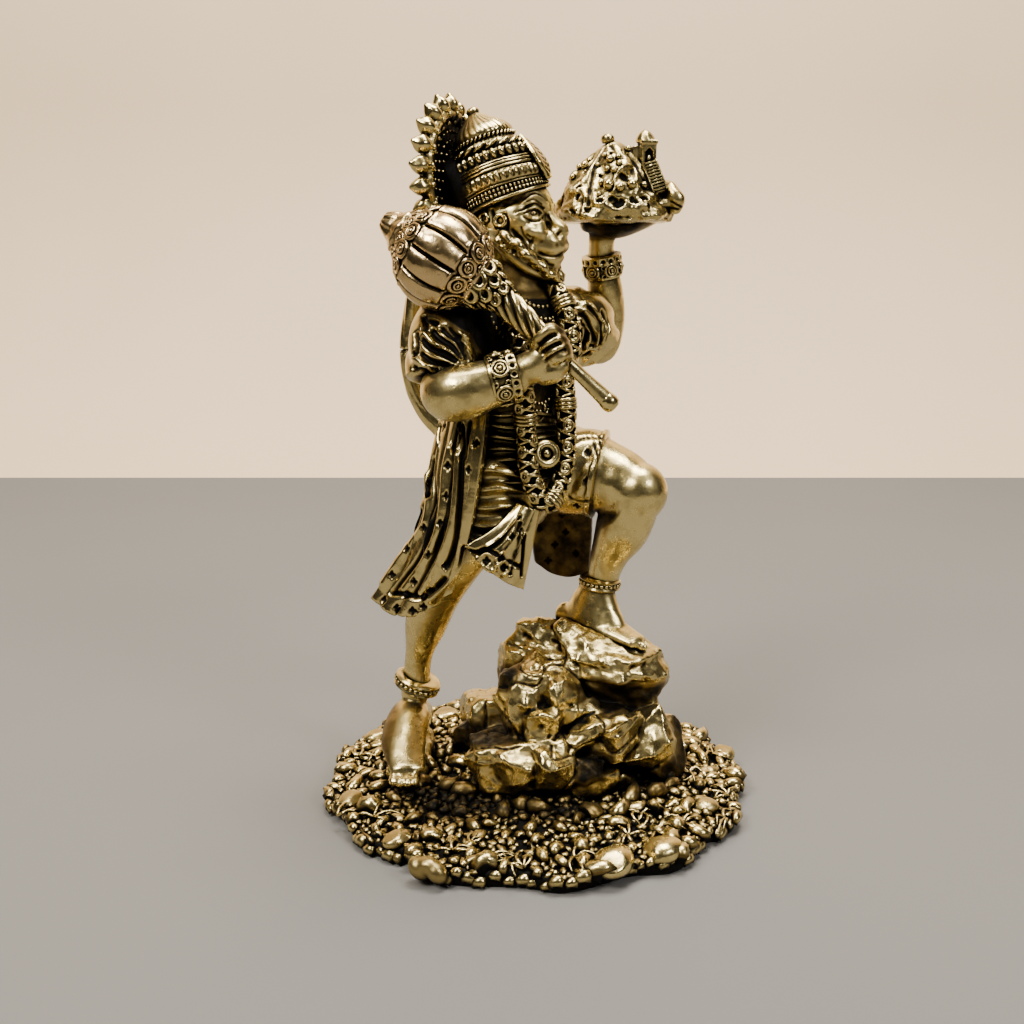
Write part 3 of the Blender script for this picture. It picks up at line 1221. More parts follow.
class HERO_OT_crown(bpy.types.Operator):
    """Crown with its beaded and roped bands, cap and leaf, and the disc with buds behind it"""

    bl_idname = "hero.crown"
    bl_label = "Crown"

    foot = (-6.5, 0.4, 126.6)
    lean = (-0.36, 0.02, 0.93)

    # The crown's side at the crest, which stays dark.
    shaded_back = (
        (-16.1, 145.5), (-13.5, 146.8), (-13.1, 143.1), (-15.2, 140.5), (-16.7, 137.5), (-16.7, 133.1),
        (-17.8, 131.1), (-18.8, 135.1), (-17.7, 140.8)
    )

    def arched(self, piece):
        """Arches a ring of the crown up over the ears."""
        foot, axis, size = at(*self.foot), direction(*self.lean), unit()
        points = corners(piece)
        out = ((points - foot) @ HEAD_RIGHT) / (9.5 * size)
        high = (points - foot) @ axis
        rise = 0.9 * size * out**2 * np.clip(high / (4 * size) + 0.5, 0, 1)
        set_corners(piece, points + rise[:, None] * axis)
        return piece

    def bands(self):
        """The turned crown under its ornaments, with its rims, lines and fluted cap."""
        profile = [
            (0, -0.5), (9.2, -0.5), (9.7, -0.4), (9.8, -0.1), (9.5, 0.1), (9.2, 0.3), (9.2, 1.7), (9.5, 1.8),
            (9.8, 2.0), (9.5, 2.2), (9.9, 2.5), (10.1, 3.3), (10.0, 4.2), (9.6, 4.7), (9.3, 4.9), (9.7, 5.1),
            (9.7, 5.4), (9.3, 5.6), (9.6, 5.8), (9.6, 6.1), (9.2, 6.3), (9.4, 6.5), (9.3, 6.7), (8.6, 6.9),
            (8.3, 7.4), (8.2, 9.0), (7.4, 9.4), (6.9, 10.0), (6.6, 11.0), (6.2, 11.6), (6.0, 12.4),
            (6.4, 12.9), (6.3, 13.5), (5.8, 14.3), (5.0, 15.2), (4.0, 16.0), (2.9, 16.9), (1.9, 17.8),
            (1.2, 18.3), (1.4, 18.9), (1.0, 19.5), (0, 19.8),
        ]

        def flutes(height, angle):
            cap = np.clip((height - 12.6) / 1.2, 0, 1) * np.clip((18.0 - height) / 2.0, 0, 1)
            band = ((height > 2.6) & (height < 4.5)).astype(float)
            twist = np.clip(np.cos(angle + 0.9), 0, 1) * np.clip(4 * np.cos(angle + 0.9) - 1.6, 0, 1)
            ropes = 0.25 * band * twist * np.cos(46 * angle)
            return 0.2 * cap * np.abs(np.sin(14 * angle + 0.5 * height)) + ropes

        crown = turned(profile, at(*self.foot), direction(*self.lean), sides=200, fine=2, relief=flutes)
        return named(self.arched(crown), "crown")

    def execute(self, context):
        axis = direction(*self.lean)
        foot = at(*self.foot)
        size = unit()
        rings = (
            ("crown_low_beads", bead_shape(), 9.35, 68, (0.34, 0.38, 0.38), 0.62, 0.0),
            ("crown_brow_beads", bead_shape(), 9.35, 68, (0.34, 0.38, 0.38), 1.35, 0.0),
            ("crown_pearls", bead_shape(12, 9), 8.55, 34, (0.66, 1.15, 0.85), 8.1, 0.12),
            ("crown_rope", bead_shape(14, 9), 7.2, 18, (1.75, 0.5, 0.95), 10.3, 0.42),
            ("crown_braid", bead_shape(10, 7), 6.35, 44, (0.62, 0.24, 0.5), 12.3, 0.85),
        )
        crown = self.bands()
        shade(crown, (self.shaded_back,), film=0.6, soft=1.6)
        hand_over(crown)
        for name, shape, radius, count, scale, high, twist in rings:
            piece = ring_of(shape, foot, axis, radius * size, count, [k * size for k in scale], name,
                            lift=high * size, twist=twist, wobble=0.05)
            hand_over(self.arched(piece))
        self.leaf(foot, axis)
        self.crest()
        return {"FINISHED"}

    def leaf(self, foot, axis):
        """The pointed leaf on the crown's brow, with a beaded edge and a rib."""
        size = unit()
        forward = square_to(HEAD_FORWARD, axis)
        rib = [foot + (forward * out + axis * high) * size
               for out, high in ((10.3, 1.2), (10.3, 3.6), (9.7, 6.2), (8.7, 8.6), (7.6, 10.8))]
        leaf = limb(rib, [(1.4, 0.7), (2.8, 0.9), (2.9, 0.9), (1.9, 0.8), (0.4, 0.5)], sides=40, rings=60,
                    across=HEAD_RIGHT)
        lines = []
        for high in np.linspace(2.0, 9.0, 7):
            middle = smooth_line(rib)((high - 1.2) / 9.6)[0] + forward * 0.9 * size
            for side in (-1, 1):
                end = middle + (HEAD_RIGHT * side * 2.6 + axis * 1.3) * size
                lines.append(np.linspace(middle, end, 16))
        press(leaf, lines, 0.3, 0.3, film=0.9)
        hand_over(named(leaf, "crown_leaf"))

    def crest(self):
        """The dished disc behind the crown, with ribs and beads inside and pointed buds round it."""
        size = unit()
        centre = at(-17.6, 0.6, 131.2)
        profile = [(0, -3.2), (6, -3.0), (11.0, -2.4), (12.6, -1.6), (13.5, -0.4), (13.5, 0.5), (12.9, 1.2),
                   (12.2, 1.2), (11.6, 0.6), (10.8, 0.0), (9.0, -0.4), (7.0, -0.7), (0, -0.8)]

        def ribs(height, angle):
            return 0 * height + 0.12 * np.cos(34 * angle)

        back = turned(profile, centre, HEAD_FORWARD, across=UP, sides=170, fine=3, relief=ribs)
        points = corners(back)
        inward = (points - centre) @ HEAD_FORWARD
        flat = np.linalg.norm((points - centre) - inward[:, None] * HEAD_FORWARD, axis=1)
        set_film(back, np.where((flat < 11.9 * size) & (inward > -1.4), 0.95, 0.1))
        hand_over(named(back, "crest_disc"))
        neck = named(limb(spots((-16.6, 0.6, 128), (-10, 0.4, 131)), [(7, 6.5), (7.4, 7)]), "crest_neck")
        set_film(neck, 0.9)
        hand_over(neck)
        stamens = []
        for ring, number in ((5.4, 17), (7.4, 25), (9.3, 33)):
            for index in range(number):
                angle = 2 * math.pi * (index + 0.5) / number
                out = HEAD_RIGHT * math.cos(angle) + UP * math.sin(angle)
                along = np.cross(HEAD_FORWARD, out)
                stamens.append(placing(centre + out * ring * size, along, HEAD_FORWARD,
                                       (0.26 * size, 0.26 * size, 0.5 * size)))
        hand_over(repeated(bead_shape(6, 4), stamens, "crest_stamens", film_below=0.3))
        def petals(t, angle):
            return 0.26 * np.abs(np.cos(2 * angle + 2 * t)) - 0.1

        buds, beads, studs = [], [], []
        count, spread = 17, 1.48 * math.pi
        for index in range(count):
            angle = math.pi / 2 + spread * (index / (count - 1) - 0.5)
            out = HEAD_RIGHT * math.cos(angle) + UP * math.sin(angle)
            along = np.cross(HEAD_FORWARD, out)
            root = centre + out * 13.2 * size
            tip = direction(*(out - HEAD_FORWARD * (0.15 + 0.85 * abs(math.cos(angle)))))
            stalk = [root - tip * 0.9 * size, root + tip * 0.4 * size, root + tip * 1.6 * size,
                     root + tip * 2.6 * size, root + tip * 3.3 * size]
            buds.append(limb(stalk, [0.9, 1.62, 1.68, 1.1, 0.45], sides=24, rings=22, across=along,
                             relief=petals, domes=(0.6, 0.8)))
            bead = centre + out * 10.9 * size + HEAD_FORWARD * 0.6 * size
            stud = centre + out * 12.6 * size + HEAD_FORWARD * 1.1 * size
            beads.append(placing(bead, along, out, 0.5 * size))
            studs.append(placing(stud, along, out, 0.62 * size))
        hand_over(melted(buds, "crest_buds", 0.26 * size, smooth=1), keep=0.55)
        hand_over(repeated(bead_shape(), beads, "crest_beads"))
        hand_over(repeated(bead_shape(), studs, "crest_studs"))


class HERO_OT_mace(bpy.types.Operator):
    """Mace over the shoulder: ribbed ball, lotus finial, knotted collar and twisted shaft"""

    bl_idname = "hero.mace"
    bl_label = "Mace"

    def ribbed(self, centre, axis):
        """The ball with its twelve domed ribs between two plain ends."""
        radius, squat = 9.6, 0.95
        ribbed_to, lip_at = 4.9, 4.6
        profile = [(radius * math.sin(a), -squat * radius * math.cos(a)) for a in np.linspace(0, math.pi, 79)]

        def ribs(height, angle):
            inside = np.clip((ribbed_to - np.abs(height)) / 0.35, 0, 1)
            across = np.abs(np.sin(6 * angle))
            dome = 0.75 * np.clip(across, 0, 1) ** 0.45 - 0.1
            groove = 1.3 * np.exp(-((across / 0.16) ** 2))
            lip = 0.3 * np.exp(-(((np.abs(height) - lip_at) / 0.3) ** 2))
            return inside * (dome - groove + lip) - 0.15 * (1 - inside)

        piece = turned(profile, centre, axis, across=UP, sides=240, relief=ribs)
        points = corners(piece)
        high = (points - centre) @ axis
        set_film(piece, np.clip((np.abs(high) - ribbed_to) / 0.5, 0, 1) * 0.75)
        return piece

    def shells(self, name, centre, axis, height, ring, count, grow):
        """Scrolled shells round one end of the ball."""
        size = unit()
        sign = 1 if height > 0 else -1
        outer, inner, eyes = [], [], []
        for radial in round_axis(axis, UP, count, 0.5):
            out = direction(*(radial * 0.72 + axis * 0.7 * sign))
            spot = centre + radial * ring * size + axis * height * size
            along = np.cross(out, axis)
            outer.append(placing(spot, along, out, (grow * size, 1.15 * grow * size, grow * size)))
            inner.append(placing(spot + out * 0.35 * size, along, out, 0.52 * grow * size))
            eyes.append(placing(spot + out * 0.3 * size, along, out, 0.3 * grow * size))
        hand_over(repeated(ring_shape(0.3, 18, 8), outer, name + "_scrolls", film_below=0.12), "rosy")
        hand_over(repeated(ring_shape(0.34, 14, 6), inner, name + "_inner", film_below=0.1), "rosy")
        hand_over(repeated(bead_shape(), eyes, name + "_eyes"), "rosy")

    def execute(self, context):
        size = unit()
        centre = at(-18.6, -17, 115)
        collar = at(-8.4, -18.8, 108.4)
        axis = (centre - collar) / np.linalg.norm(centre - collar)
        hand_over(named(self.ribbed(centre, axis), "mace_ball"), "rosy", keep=0.75)
        for name, height, ring, count, grow in (("mace_far_end", 6.2, 7.1, 12, 1.5),
                                                ("mace_near_end", -6.2, 7.1, 12, 1.5),
                                                ("mace_far_ring", 8.0, 5.2, 9, 1.2),
                                                ("mace_near_ring", -8.0, 5.2, 9, 1.2)):
            self.shells(name, centre, axis, height, ring, count, grow)
        finial = turned([(0, 6.9), (5.6, 7.0), (5.7, 7.8), (4.9, 8.4), (4.2, 8.8), (4.3, 9.8), (3.5, 10.6),
                         (2.9, 11.2), (2.5, 12.2), (1.9, 13.2), (1.3, 13.9), (0, 14.2)],
                        centre, axis, across=UP, sides=64, fine=3,
                        relief=lambda height, angle: 0.4 * np.abs(np.sin(4 * angle + 0.4 * height)) - 0.1)
        hand_over(named(finial, "mace_finial"), "rosy")
        knots = turned([(0, -14.2), (2.8, -13.8), (2.9, -12.6), (2.6, -11.4), (3.4, -10.6), (4.4, -9.4),
                        (5.6, -8.4), (5.6, -7.4), (0, -6.4)], centre, axis, across=UP, sides=48, fine=3)
        hand_over(named(knots, "mace_collar"), "rosy")
        for name, radius, lift, count, grow in (("mace_knots_high", 4.9, -8.9, 9, 1.5),
                                                ("mace_knots_mid", 3.6, -11.0, 7, 1.35),
                                                ("mace_knots_low", 3.0, -13.2, 7, 1.1)):
            hand_over(ring_of(ring_shape(0.42, 16, 8), centre, axis, radius * size, count,
                              (0.95 * grow * size, 0.8 * grow * size, 0.7 * grow * size), name, across=UP,
                              lift=lift * size, twist=0.7))

        def twisted(t, angle):
            rope = 0.4 * sharp(np.cos(7 * angle - 62 * t), 1.5)
            return rope * np.clip((0.52 - t) / 0.05, 0, 1)

        shaft = limb(spots((-10, -18.6, 109.4), (-4, -19.4, 104.4), (2.2, -20.4, 98.2), (8, -21.4, 92.9),
                           (13.4, -22.4, 87.9)),
                     [2.4, 2.4, 1.5, 1.35, 1.65], sides=64, rings=190, relief=twisted)
        hand_over(named(shaft, "mace_shaft"), keep=0.7)
        knob = turned([(0, -2.0), (1.3, -1.9), (1.75, -1.0), (1.85, 0.2), (1.65, 1.0), (1.0, 1.5), (0, 1.6)],
                      at(13.6, -22.4, 87.7), grip_way(), sides=32, fine=3)
        hand_over(named(knob, "mace_knob"))
        return {"FINISHED"}


class HERO_OT_mountain(bpy.types.Operator):
    """Mountain on the raised hand, with trees, caves, a temple and stairs"""

    bl_idname = "hero.mountain"
    bl_label = "Mountain"

    # What the eye sees on the slopes, as (x, z) in the plane y = 0.
    tree_tops = (
        (14.8, 137.7, 1.0), (16.3, 138.2, 0.8), (16.6, 136.9, 0.8), (9.7, 136.6, 1.0), (10.6, 137.5, 0.8),
        (18.3, 139.8, 0.8), (20.1, 138.8, 0.9), (14.6, 132.8, 1.3), (16.9, 132.4, 1.0), (19.2, 132.9, 1.2),
        (15.6, 135.8, 0.8), (14.3, 135.9, 0.8), (12.3, 136.6, 0.6), (8.6, 136.2, 0.8), (13.2, 133.2, 0.9),
        (21.6, 132.8, 0.9), (13.7, 138.5, 0.7), (21.2, 137.6, 0.7), (7.2, 134.4, 0.7), (12.6, 130.9, 0.6))
    caves = (
        (12.8, 130.0, 0.8), (15.4, 130.1, 0.7), (16.6, 129.2, 1.0), (20.0, 130.0, 1.0), (21.7, 130.2, 0.9),
        (8.2, 132.8, 0.8), (5.4, 130.7, 0.6), (13.1, 134.8, 0.6), (8.1, 130.5, 0.7), (15.1, 139.3, 0.5),
        (10.2, 128.2, 0.8), (6.8, 127.7, 1.0), (18.0, 134.2, 1.1), (23.0, 128.6, 0.7))
    creases = (
        ((13.8, 141.1), (13.1, 138.9), (11.7, 136.4), (11.1, 134.6), (10.7, 132.2), (10.4, 128.9)),
        ((14.7, 140.7), (15.5, 139.7), (17.2, 138.3)), ((12.6, 139.7), (11.2, 137.8), (9.4, 135.4)),
        ((18.4, 139.0), (20.9, 135.4), (22.2, 132.8)), ((6.2, 133.8), (5.2, 131.8), (4.8, 128.7)),
        ((8.7, 131.8), (9.1, 129.9), (8.5, 126.7)))

    arch = ((15.6, 133.4), (16.1, 135.0), (17.2, 136.2), (18.8, 136.5), (19.9, 135.4), (20.1, 133.8))

    def execute(self, context):
        size = unit()
        foot = at(16.6, 13, 123)
        side = direction(1, 0.1, 0)
        deep = np.cross(UP, side)
        profile = [(0, -0.3), (11.0, -0.3), (12.2, 0.1), (12.9, 1.0), (12.9, 2.0), (12.4, 3.4), (11.7, 5.0),
                   (10.6, 6.9), (9.2, 8.9), (7.7, 10.8), (6.0, 12.6), (4.4, 14.2), (2.7, 15.6), (1.4, 16.5),
                   (0, 16.9)]

        def slopes(height, angle):
            share = np.clip(height / 16.0, 0, 1)
            ridges = 0.6 * sharp(np.cos(8 * angle + 1.4 * np.sin(2 * angle)), 1.5)
            ridges = ridges * np.clip(share * 2.2 - 0.5, 0, 1)
            terrace = 0.35 * np.cos(2 * math.pi * (height / 4.4 + 0.5 * np.sin(3 * angle)))
            bulge = 0.7 * np.sin(5 * angle + 6 * share) * (1 - share)
            return (ridges + (terrace + bulge) * (height > 0.2)) * np.clip((16.0 - height) / 5, 0, 1)

        dome = named(turned(profile, foot, UP, across=side, sides=200, fine=7, relief=slopes), "mountain")
        set_corners(dome, pressed_flat(corners(dome), foot, deep, 0.84))
        points = corners(dome)
        rough = np.array([noise.noise(Vector(q * 0.5)) + 0.6 * noise.noise(Vector(q * 1.1))
                          for q in points])
        calm = np.clip((foot[2] + 15 * size - points[:, 2]) / (7 * size), 0.25, 1)
        calm = calm * (points[:, 2] > foot[2])
        set_corners(dome, points + corner_normals(dome) * (0.5 * rough * calm)[:, None])
        with_modifier(dome, "REMESH", mode="VOXEL", voxel_size=0.24 * MM)
        carve(dome, self.creases, (self.arch,), deep=(0.4, 0.42), high=(0.45, -0.55), film=0.55)
        surface = surface_of(dome)
        dice = random.Random(12)
        trees = []
        for (_, _, grow), centre, _ in each_seen(surface, self.caves):
            mouth = [centre + [dice.uniform(-0.7, 0.7) * grow, 0, dice.uniform(-0.45, 0.45) * grow]
                     for _ in range(5)]
            press(dome, [np.array(mouth)], 0.6 * grow, 0.8, flat=True)
        self.far_side(dome, surface, foot, side, deep, trees)
        for (_, _, grow), centre, normal in each_seen(surface, self.tree_tops):
            along = square_to(UP, normal)
            trees.append(placing(centre + 0.3 * normal, along, normal, 0.86 * grow * size))
            press(dome, [centre[None]], 0.95 * grow, 0.2, film=0.8)
        hand_over(dome, "stone", keep=0.6)
        hand_over(repeated(bead_shape(14, 9), trees, "mountain_trees"))
        self.ledge(size)
        knob = turned([(0, -0.9), (1.2, -0.9), (1.5, -0.3), (1.4, 0.5), (0.8, 1.0), (0, 1.15)],
                      at(15.2, 13, 140.2), UP, sides=32, fine=3)
        hand_over(named(knob, "mountain_knob"))
        self.temple(size)
        return {"FINISHED"}

    def far_side(self, dome, surface, foot, side, deep, trees):
        """Caves and trees on the side that faces away, in keeping and plainer."""
        size = unit()
        dice = random.Random(5)
        for k in range(34):
            angle = dice.uniform(0.15, math.pi - 0.15)
            high = dice.uniform(1.4, 12.0)
            out = math.cos(angle) * side + math.sin(angle) * deep
            start = foot + out * 30 * size + UP * high * size
            hit, normal, _, _ = surface.ray_cast(Vector(start * MM), Vector(-out))
            if hit is None:
                continue
            centre, normal = np.array(hit) / MM, np.array(normal)
            if k % 3 == 0:
                press(dome, [centre[None]], 0.6, 0.9)
            else:
                trees.append(placing(centre, square_to(UP, normal), normal, dice.uniform(0.5, 0.85) * size))

    def ledge(self, size):
        """The leaf-shaped ledge at the right and the lip of rock over the palm."""
        lobe = spots((27.0, 12.0, 131.0), (28.3, 11.0, 129.3), (29.4, 10.0, 127.2), (29.1, 10.0, 125.6))
        foot = spots((24.9, 12.0, 126.1), (27.3, 11.0, 126.5), (30.0, 10.0, 126.5))
        ledge = melted([
            limb(lobe, [(1.2, 0.9), (2.0, 2.6), (2.2, 3.0), (1.5, 2.4)], across=(0.8, 0.2, 0.3)),
            limb(foot, [(4.4, 1.4), (4.0, 1.3), (1.8, 0.9)], across=(0, 1, 0)),
            limb(spots((9.4, 13, 123.4), (14, 12, 122.9), (20, 11.4, 123.2), (24.6, 11.2, 124.2)),
                 [(4.0, 0.7), (5.4, 0.8), (5.0, 0.8), (2.6, 0.7)], across=(0, 1, 0)),
        ], "mountain_ledge", 0.3 * size, smooth=2)
        near = surface_of(ledge)
        veins = ((27.4, 129.6), (29.4, 128.6), (31.0, 127.6)), ((24.6, 128.0), (27.0, 128.2), (29.0, 128.0))
        press(ledge, all_drawn(near, veins), 0.3, 0.3)
        crumple = np.array([noise.noise(Vector(q * 0.45)) for q in corners(ledge)])
        set_corners(ledge, corners(ledge) + corner_normals(ledge) * (0.45 * crumple)[:, None])
        hand_over(ledge, "stone", keep=0.5)

    def block(self, centre, forward, half):
        """A box of the temple, its edges taken off."""
        deselect()
        bpy.ops.mesh.primitive_cube_add(size=2)
        piece = put(bpy.context.object, centre, forward, UP, [h * unit() for h in half])
        return with_modifier(piece, "BEVEL", width=0.12 * MM, segments=2)

    def temple(self, size):
        """The little temple with its arched niche, gabled roof and stairs."""
        front = direction(0.12, -0.99, 0)
        side = np.cross(UP, front)
        centre = at(23.6, 11.4, 136.2)
        walls = [self.block(centre - UP * 1.6 * size, front, (1.9, 1.6, 4.6)),
                 self.block(centre + UP * 3.1 * size, front, (2.1, 1.85, 0.4)),
                 self.block(centre - side * 1.9 * size - front * 0.6 * size - UP * 1.0 * size, front,
                            (1.4, 1.3, 3.4))]
        roof = [(0, 3.2), (2.0, 3.2), (2.1, 3.6), (1.85, 4.3), (1.35, 5.0), (0.75, 5.5), (0.25, 5.8),
                (0, 5.9)]
        walls.append(turned(roof, centre - side * 0.25 * size, direction(*(UP - 0.07 * side)),
                            across=front, sides=10, fine=2))
        temple = melted(walls, "temple", 0.17 * size, smooth=2)
        face = centre + front * 1.9 * size
        niche = [face + side * x * size + UP * z * size
                 for x in (-0.4, 0, 0.4) for z in np.linspace(-0.9, 0.9, 7)]
        niche += [face + UP * 1.3 * size]
        press(temple, [np.array(niche)], 0.4 * size, 1.1 * size, flat=True)
        hand_over(temple, "stone", keep=0.6)
        idol = placing(face - UP * 0.3 * size - front * 0.3 * size, front, UP,
                       (0.5 * size, 0.42 * size, 0.75 * size))
        hand_over(repeated(bead_shape(12, 8), [idol], "temple_idol"))
        top, bottom = at(23.6, 9.0, 135.0), at(25.9, 7.0, 129.0)
        down = direction(*(bottom - top))
        across = square_to(side, down)
        upright = np.cross(down, across)
        if upright @ np.array((0, -1, 0.4)) < 0:
            upright = -upright
        middle = 0.5 * (top + bottom)
        steps = []

        def slab(place, half):
            deselect()
            bpy.ops.mesh.primitive_cube_add(size=2)
            steps.append(put(bpy.context.object, place, down, upright, [h * size for h in half]))

        length = np.linalg.norm(bottom - top) / size
        count = 10
        for k in range(count):
            slab(top + down * (k + 0.5) / count * length * size + upright * 0.35 * size, (0.2, 1.3, 0.55))
        for edge in (-1, 1):
            slab(middle + across * edge * 1.5 * size + upright * 0.2 * size, (0.52 * length, 0.2, 0.7))
        slab(middle - upright * 0.6 * size, (0.52 * length, 1.6, 0.8))
        stairs = joined(steps, "temple_stairs")
        with_modifier(stairs, "BEVEL", width=0.09 * MM, segments=1)
        hand_over(stairs, "stone", angle=40)


class HERO_OT_cloths(bpy.types.Operator):
    """Wraps, sleeves, shawl ends and hanging cloth, with folds, hems and stamped flowers"""

    bl_idname = "hero.cloths"
    bl_label = "Cloths"

    # Folds and stamps as the eye sees them, as (x, z) in the plane y = 0.
    shawl_valleys = (
        ((-20.9, 83.6), (-21.0, 79.9), (-21.8, 74.9), (-22.2, 71.5), (-22.1, 67.8), (-22.4, 63.7),
         (-23.8, 57.6), (-26.6, 52.7), (-30.0, 48.5), (-31.8, 46.1)),
        ((-16.8, 83.9), (-17.8, 79.9), (-18.0, 75.6), (-18.3, 69.9), (-19.0, 63.1), (-20.8, 58.6),
         (-22.5, 54.1), (-24.6, 49.9), (-27.0, 45.7)),
        ((-16.0, 82.6), (-16.2, 78.2), (-16.3, 73.2), (-16.5, 67.8), (-16.9, 63.1), (-17.4, 58.6),
         (-18.3, 55.1), (-19.5, 52.4)), ((-14.5, 83.9), (-15.1, 80.6), (-15.5, 76.6)),
        ((-22.4, 75.6), (-22.9, 71.5), (-23.5, 68.5)),
        ((-25.3, 64.4), (-27.0, 60.0), (-30.5, 54.8), (-33.0, 51.0)),
        ((-15.9, 56.2), (-16.8, 52.7), (-18.2, 50.6), (-20.2, 48.5), (-21.9, 47.1)),
        ((-34.5, 46.6), (-31.4, 45.9), (-28.4, 45.5), (-25.7, 44.8), (-23.3, 46.1), (-20.2, 49.2)),
    )
    shawl_ridges = (
        ((-22.8, 79.9), (-23.6, 73.2), (-23.5, 66.5), (-24.4, 61.7), (-27.5, 56.9), (-30.9, 52.4),
         (-33.7, 48.2)),
        ((-18.8, 78.2), (-19.9, 73.2), (-20.3, 67.8), (-21.2, 61.7), (-23.1, 56.2), (-26.3, 50.6),
         (-29.0, 46.8)),
        ((-17.1, 76.6), (-17.4, 70.5), (-18.0, 64.8), (-19.2, 58.9), (-21.0, 54.4), (-23.2, 50.3),
         (-25.3, 46.1)),
        ((-13.9, 78.2), (-14.6, 71.5), (-15.3, 64.8), (-16.2, 59.6), (-16.8, 56.2), (-17.8, 51.3),
         (-19.9, 48.2), (-23.3, 44.7)),
    )
    shawl_stamps = (
        (-19.9, 83.1), (-13.1, 79.4), (-19.2, 74.4), (-14.8, 73.6), (-19.6, 67.7), (-23.6, 68.2),
         (-24.6, 60.7), (-21.0, 61.7), (-28.5, 56.0), (-23.7, 54.6), (-20.0, 52.0), (-31.8, 50.1),
         (-27.0, 48.5), (-23.3, 46.4), (-33.7, 44.3), (-27.4, 41.8), (-30.8, 42.5), (-25.0, 42.7)
    )
    sleeve_valleys = (
        ((-22.1, 103.3), (-21.0, 102.0), (-19.8, 101.1), (-18.1, 100.2), (-16.9, 98.7), (-16.2, 97.3)),
        ((-20.1, 103.8), (-18.3, 102.4), (-16.5, 101.1), (-15.8, 99.5), (-15.1, 97.5)),
        ((-24.3, 101.5), (-22.9, 100.0), (-21.1, 99.1), (-19.1, 98.2), (-17.1, 97.1)),
        ((-24.6, 98.4), (-22.9, 97.1), (-20.9, 96.4), (-19.1, 96.0)),
        ((-26.3, 95.5), (-23.9, 94.8), (-21.7, 94.6)), ((-23.7, 106.3), (-23.4, 104.5), (-23.6, 103.6)),
        ((-22.8, 105.8), (-21.2, 104.9)), ((-18.3, 104.0), (-16.1, 101.6), (-14.5, 99.1), (-13.6, 97.5)),
        ((-25.6, 102.7), (-25.3, 100.6), (-25.7, 98.7)), ((-24.3, 91.4), (-23.0, 93.6), (-21.7, 94.5)),
    )
    sleeve_ridges = (
        ((-21.6, 103.6), (-19.8, 102.2), (-17.8, 100.7), (-16.5, 99.1), (-15.6, 97.5)),
        ((-23.8, 102.7), (-22.5, 101.1), (-21.3, 100.2), (-19.1, 99.3), (-17.6, 98.4), (-16.5, 97.1)),
        ((-24.7, 101.1), (-23.5, 99.3), (-21.7, 97.8), (-19.8, 97.1), (-18.0, 96.4)),
        ((-26.1, 97.6), (-24.4, 96.4), (-22.8, 95.3), (-21.0, 94.9)),
        ((-15.9, 101.1), (-15.0, 99.8), (-14.3, 98.4), (-13.8, 97.3)), ((-16.1, 102.5), (-14.7, 101.6)),
    )
    far_sleeve_valleys = (
        ((7.9, 108.7), (9.4, 107.2), (10.7, 105.3), (11.3, 104.1), (12.0, 102.0), (12.1, 101.1)),
        ((10.8, 108.4), (12.5, 106.4), (13.3, 104.9), (13.5, 102.6), (13.4, 100.7)),
        ((8.1, 106.7), (9.3, 105.0), (10.4, 103.2), (10.1, 101.1), (9.4, 99.5)),
        ((8.9, 104.4), (9.3, 102.6), (8.8, 100.1)), ((9.6, 98.0), (10.9, 98.7)),
        ((11.4, 100.1), (12.6, 100.0), (13.6, 100.4)),
        ((13.7, 107.2), (14.4, 105.6), (15.0, 103.8), (14.6, 101.8)),
    )
    far_sleeve_ridges = (
        ((7.7, 109.0), (9.3, 108.2), (10.8, 106.8), (12.2, 105.3), (12.9, 103.8), (12.9, 102.0),
         (12.5, 100.3)), ((10.0, 109.1), (11.3, 108.4), (12.5, 106.7)),
        ((13.8, 105.2), (14.5, 103.8), (14.4, 102.3), (13.7, 101.1), (13.7, 99.7)),
        ((10.1, 104.1), (11.0, 102.9), (11.1, 101.4)), ((8.9, 97.7), (11.1, 99.7), (12.3, 99.4)),
        ((9.4, 96.0), (12.3, 98.9)),
    )
    flap_valleys = (
        ((-3.8, 63.1), (-6.3, 59.6), (-9.0, 56.9), (-12.7, 55.3)),
        ((-3.5, 61.7), (-5.3, 57.9), (-7.3, 55.1), (-8.4, 52.7)),
        ((-3.2, 60.3), (-4.0, 56.9), (-5.0, 53.1), (-5.7, 50.3)),
        ((-2.6, 58.9), (-2.8, 54.4), (-3.1, 49.9)),
        ((-15.9, 56.0), (-12.7, 55.1), (-10.7, 55.7), (-7.7, 54.1), (-5.3, 52.7), (-3.0, 51.7)),
    )
    flap_ridges = (
        ((-4.3, 62.4), (-7.3, 58.9), (-10.7, 56.5)), ((-4.0, 59.6), (-6.3, 56.2), (-8.0, 54.4)),
        ((-3.3, 58.9), (-4.5, 55.1), (-5.3, 52.4)),
        ((-13.1, 53.2), (-11.0, 55.0), (-8.5, 53.4), (-9.7, 51.1), (-13.1, 53.2)),
        ((-8.4, 52.4), (-6.7, 53.4), (-5.7, 51.3), (-7.4, 50.1), (-8.4, 52.4)),
    )

    # The sleeve's side at the chest, which stays black.
    armpit = (
        (-20.5, 106.7), (-14.0, 108.5), (-5.7, 108.2), (-5.7, 97.6), (-13.0, 95.9), (-12.0, 98.7),
        (-14.1, 102.2), (-16.7, 103.7), (-18.6, 105.0)
    )

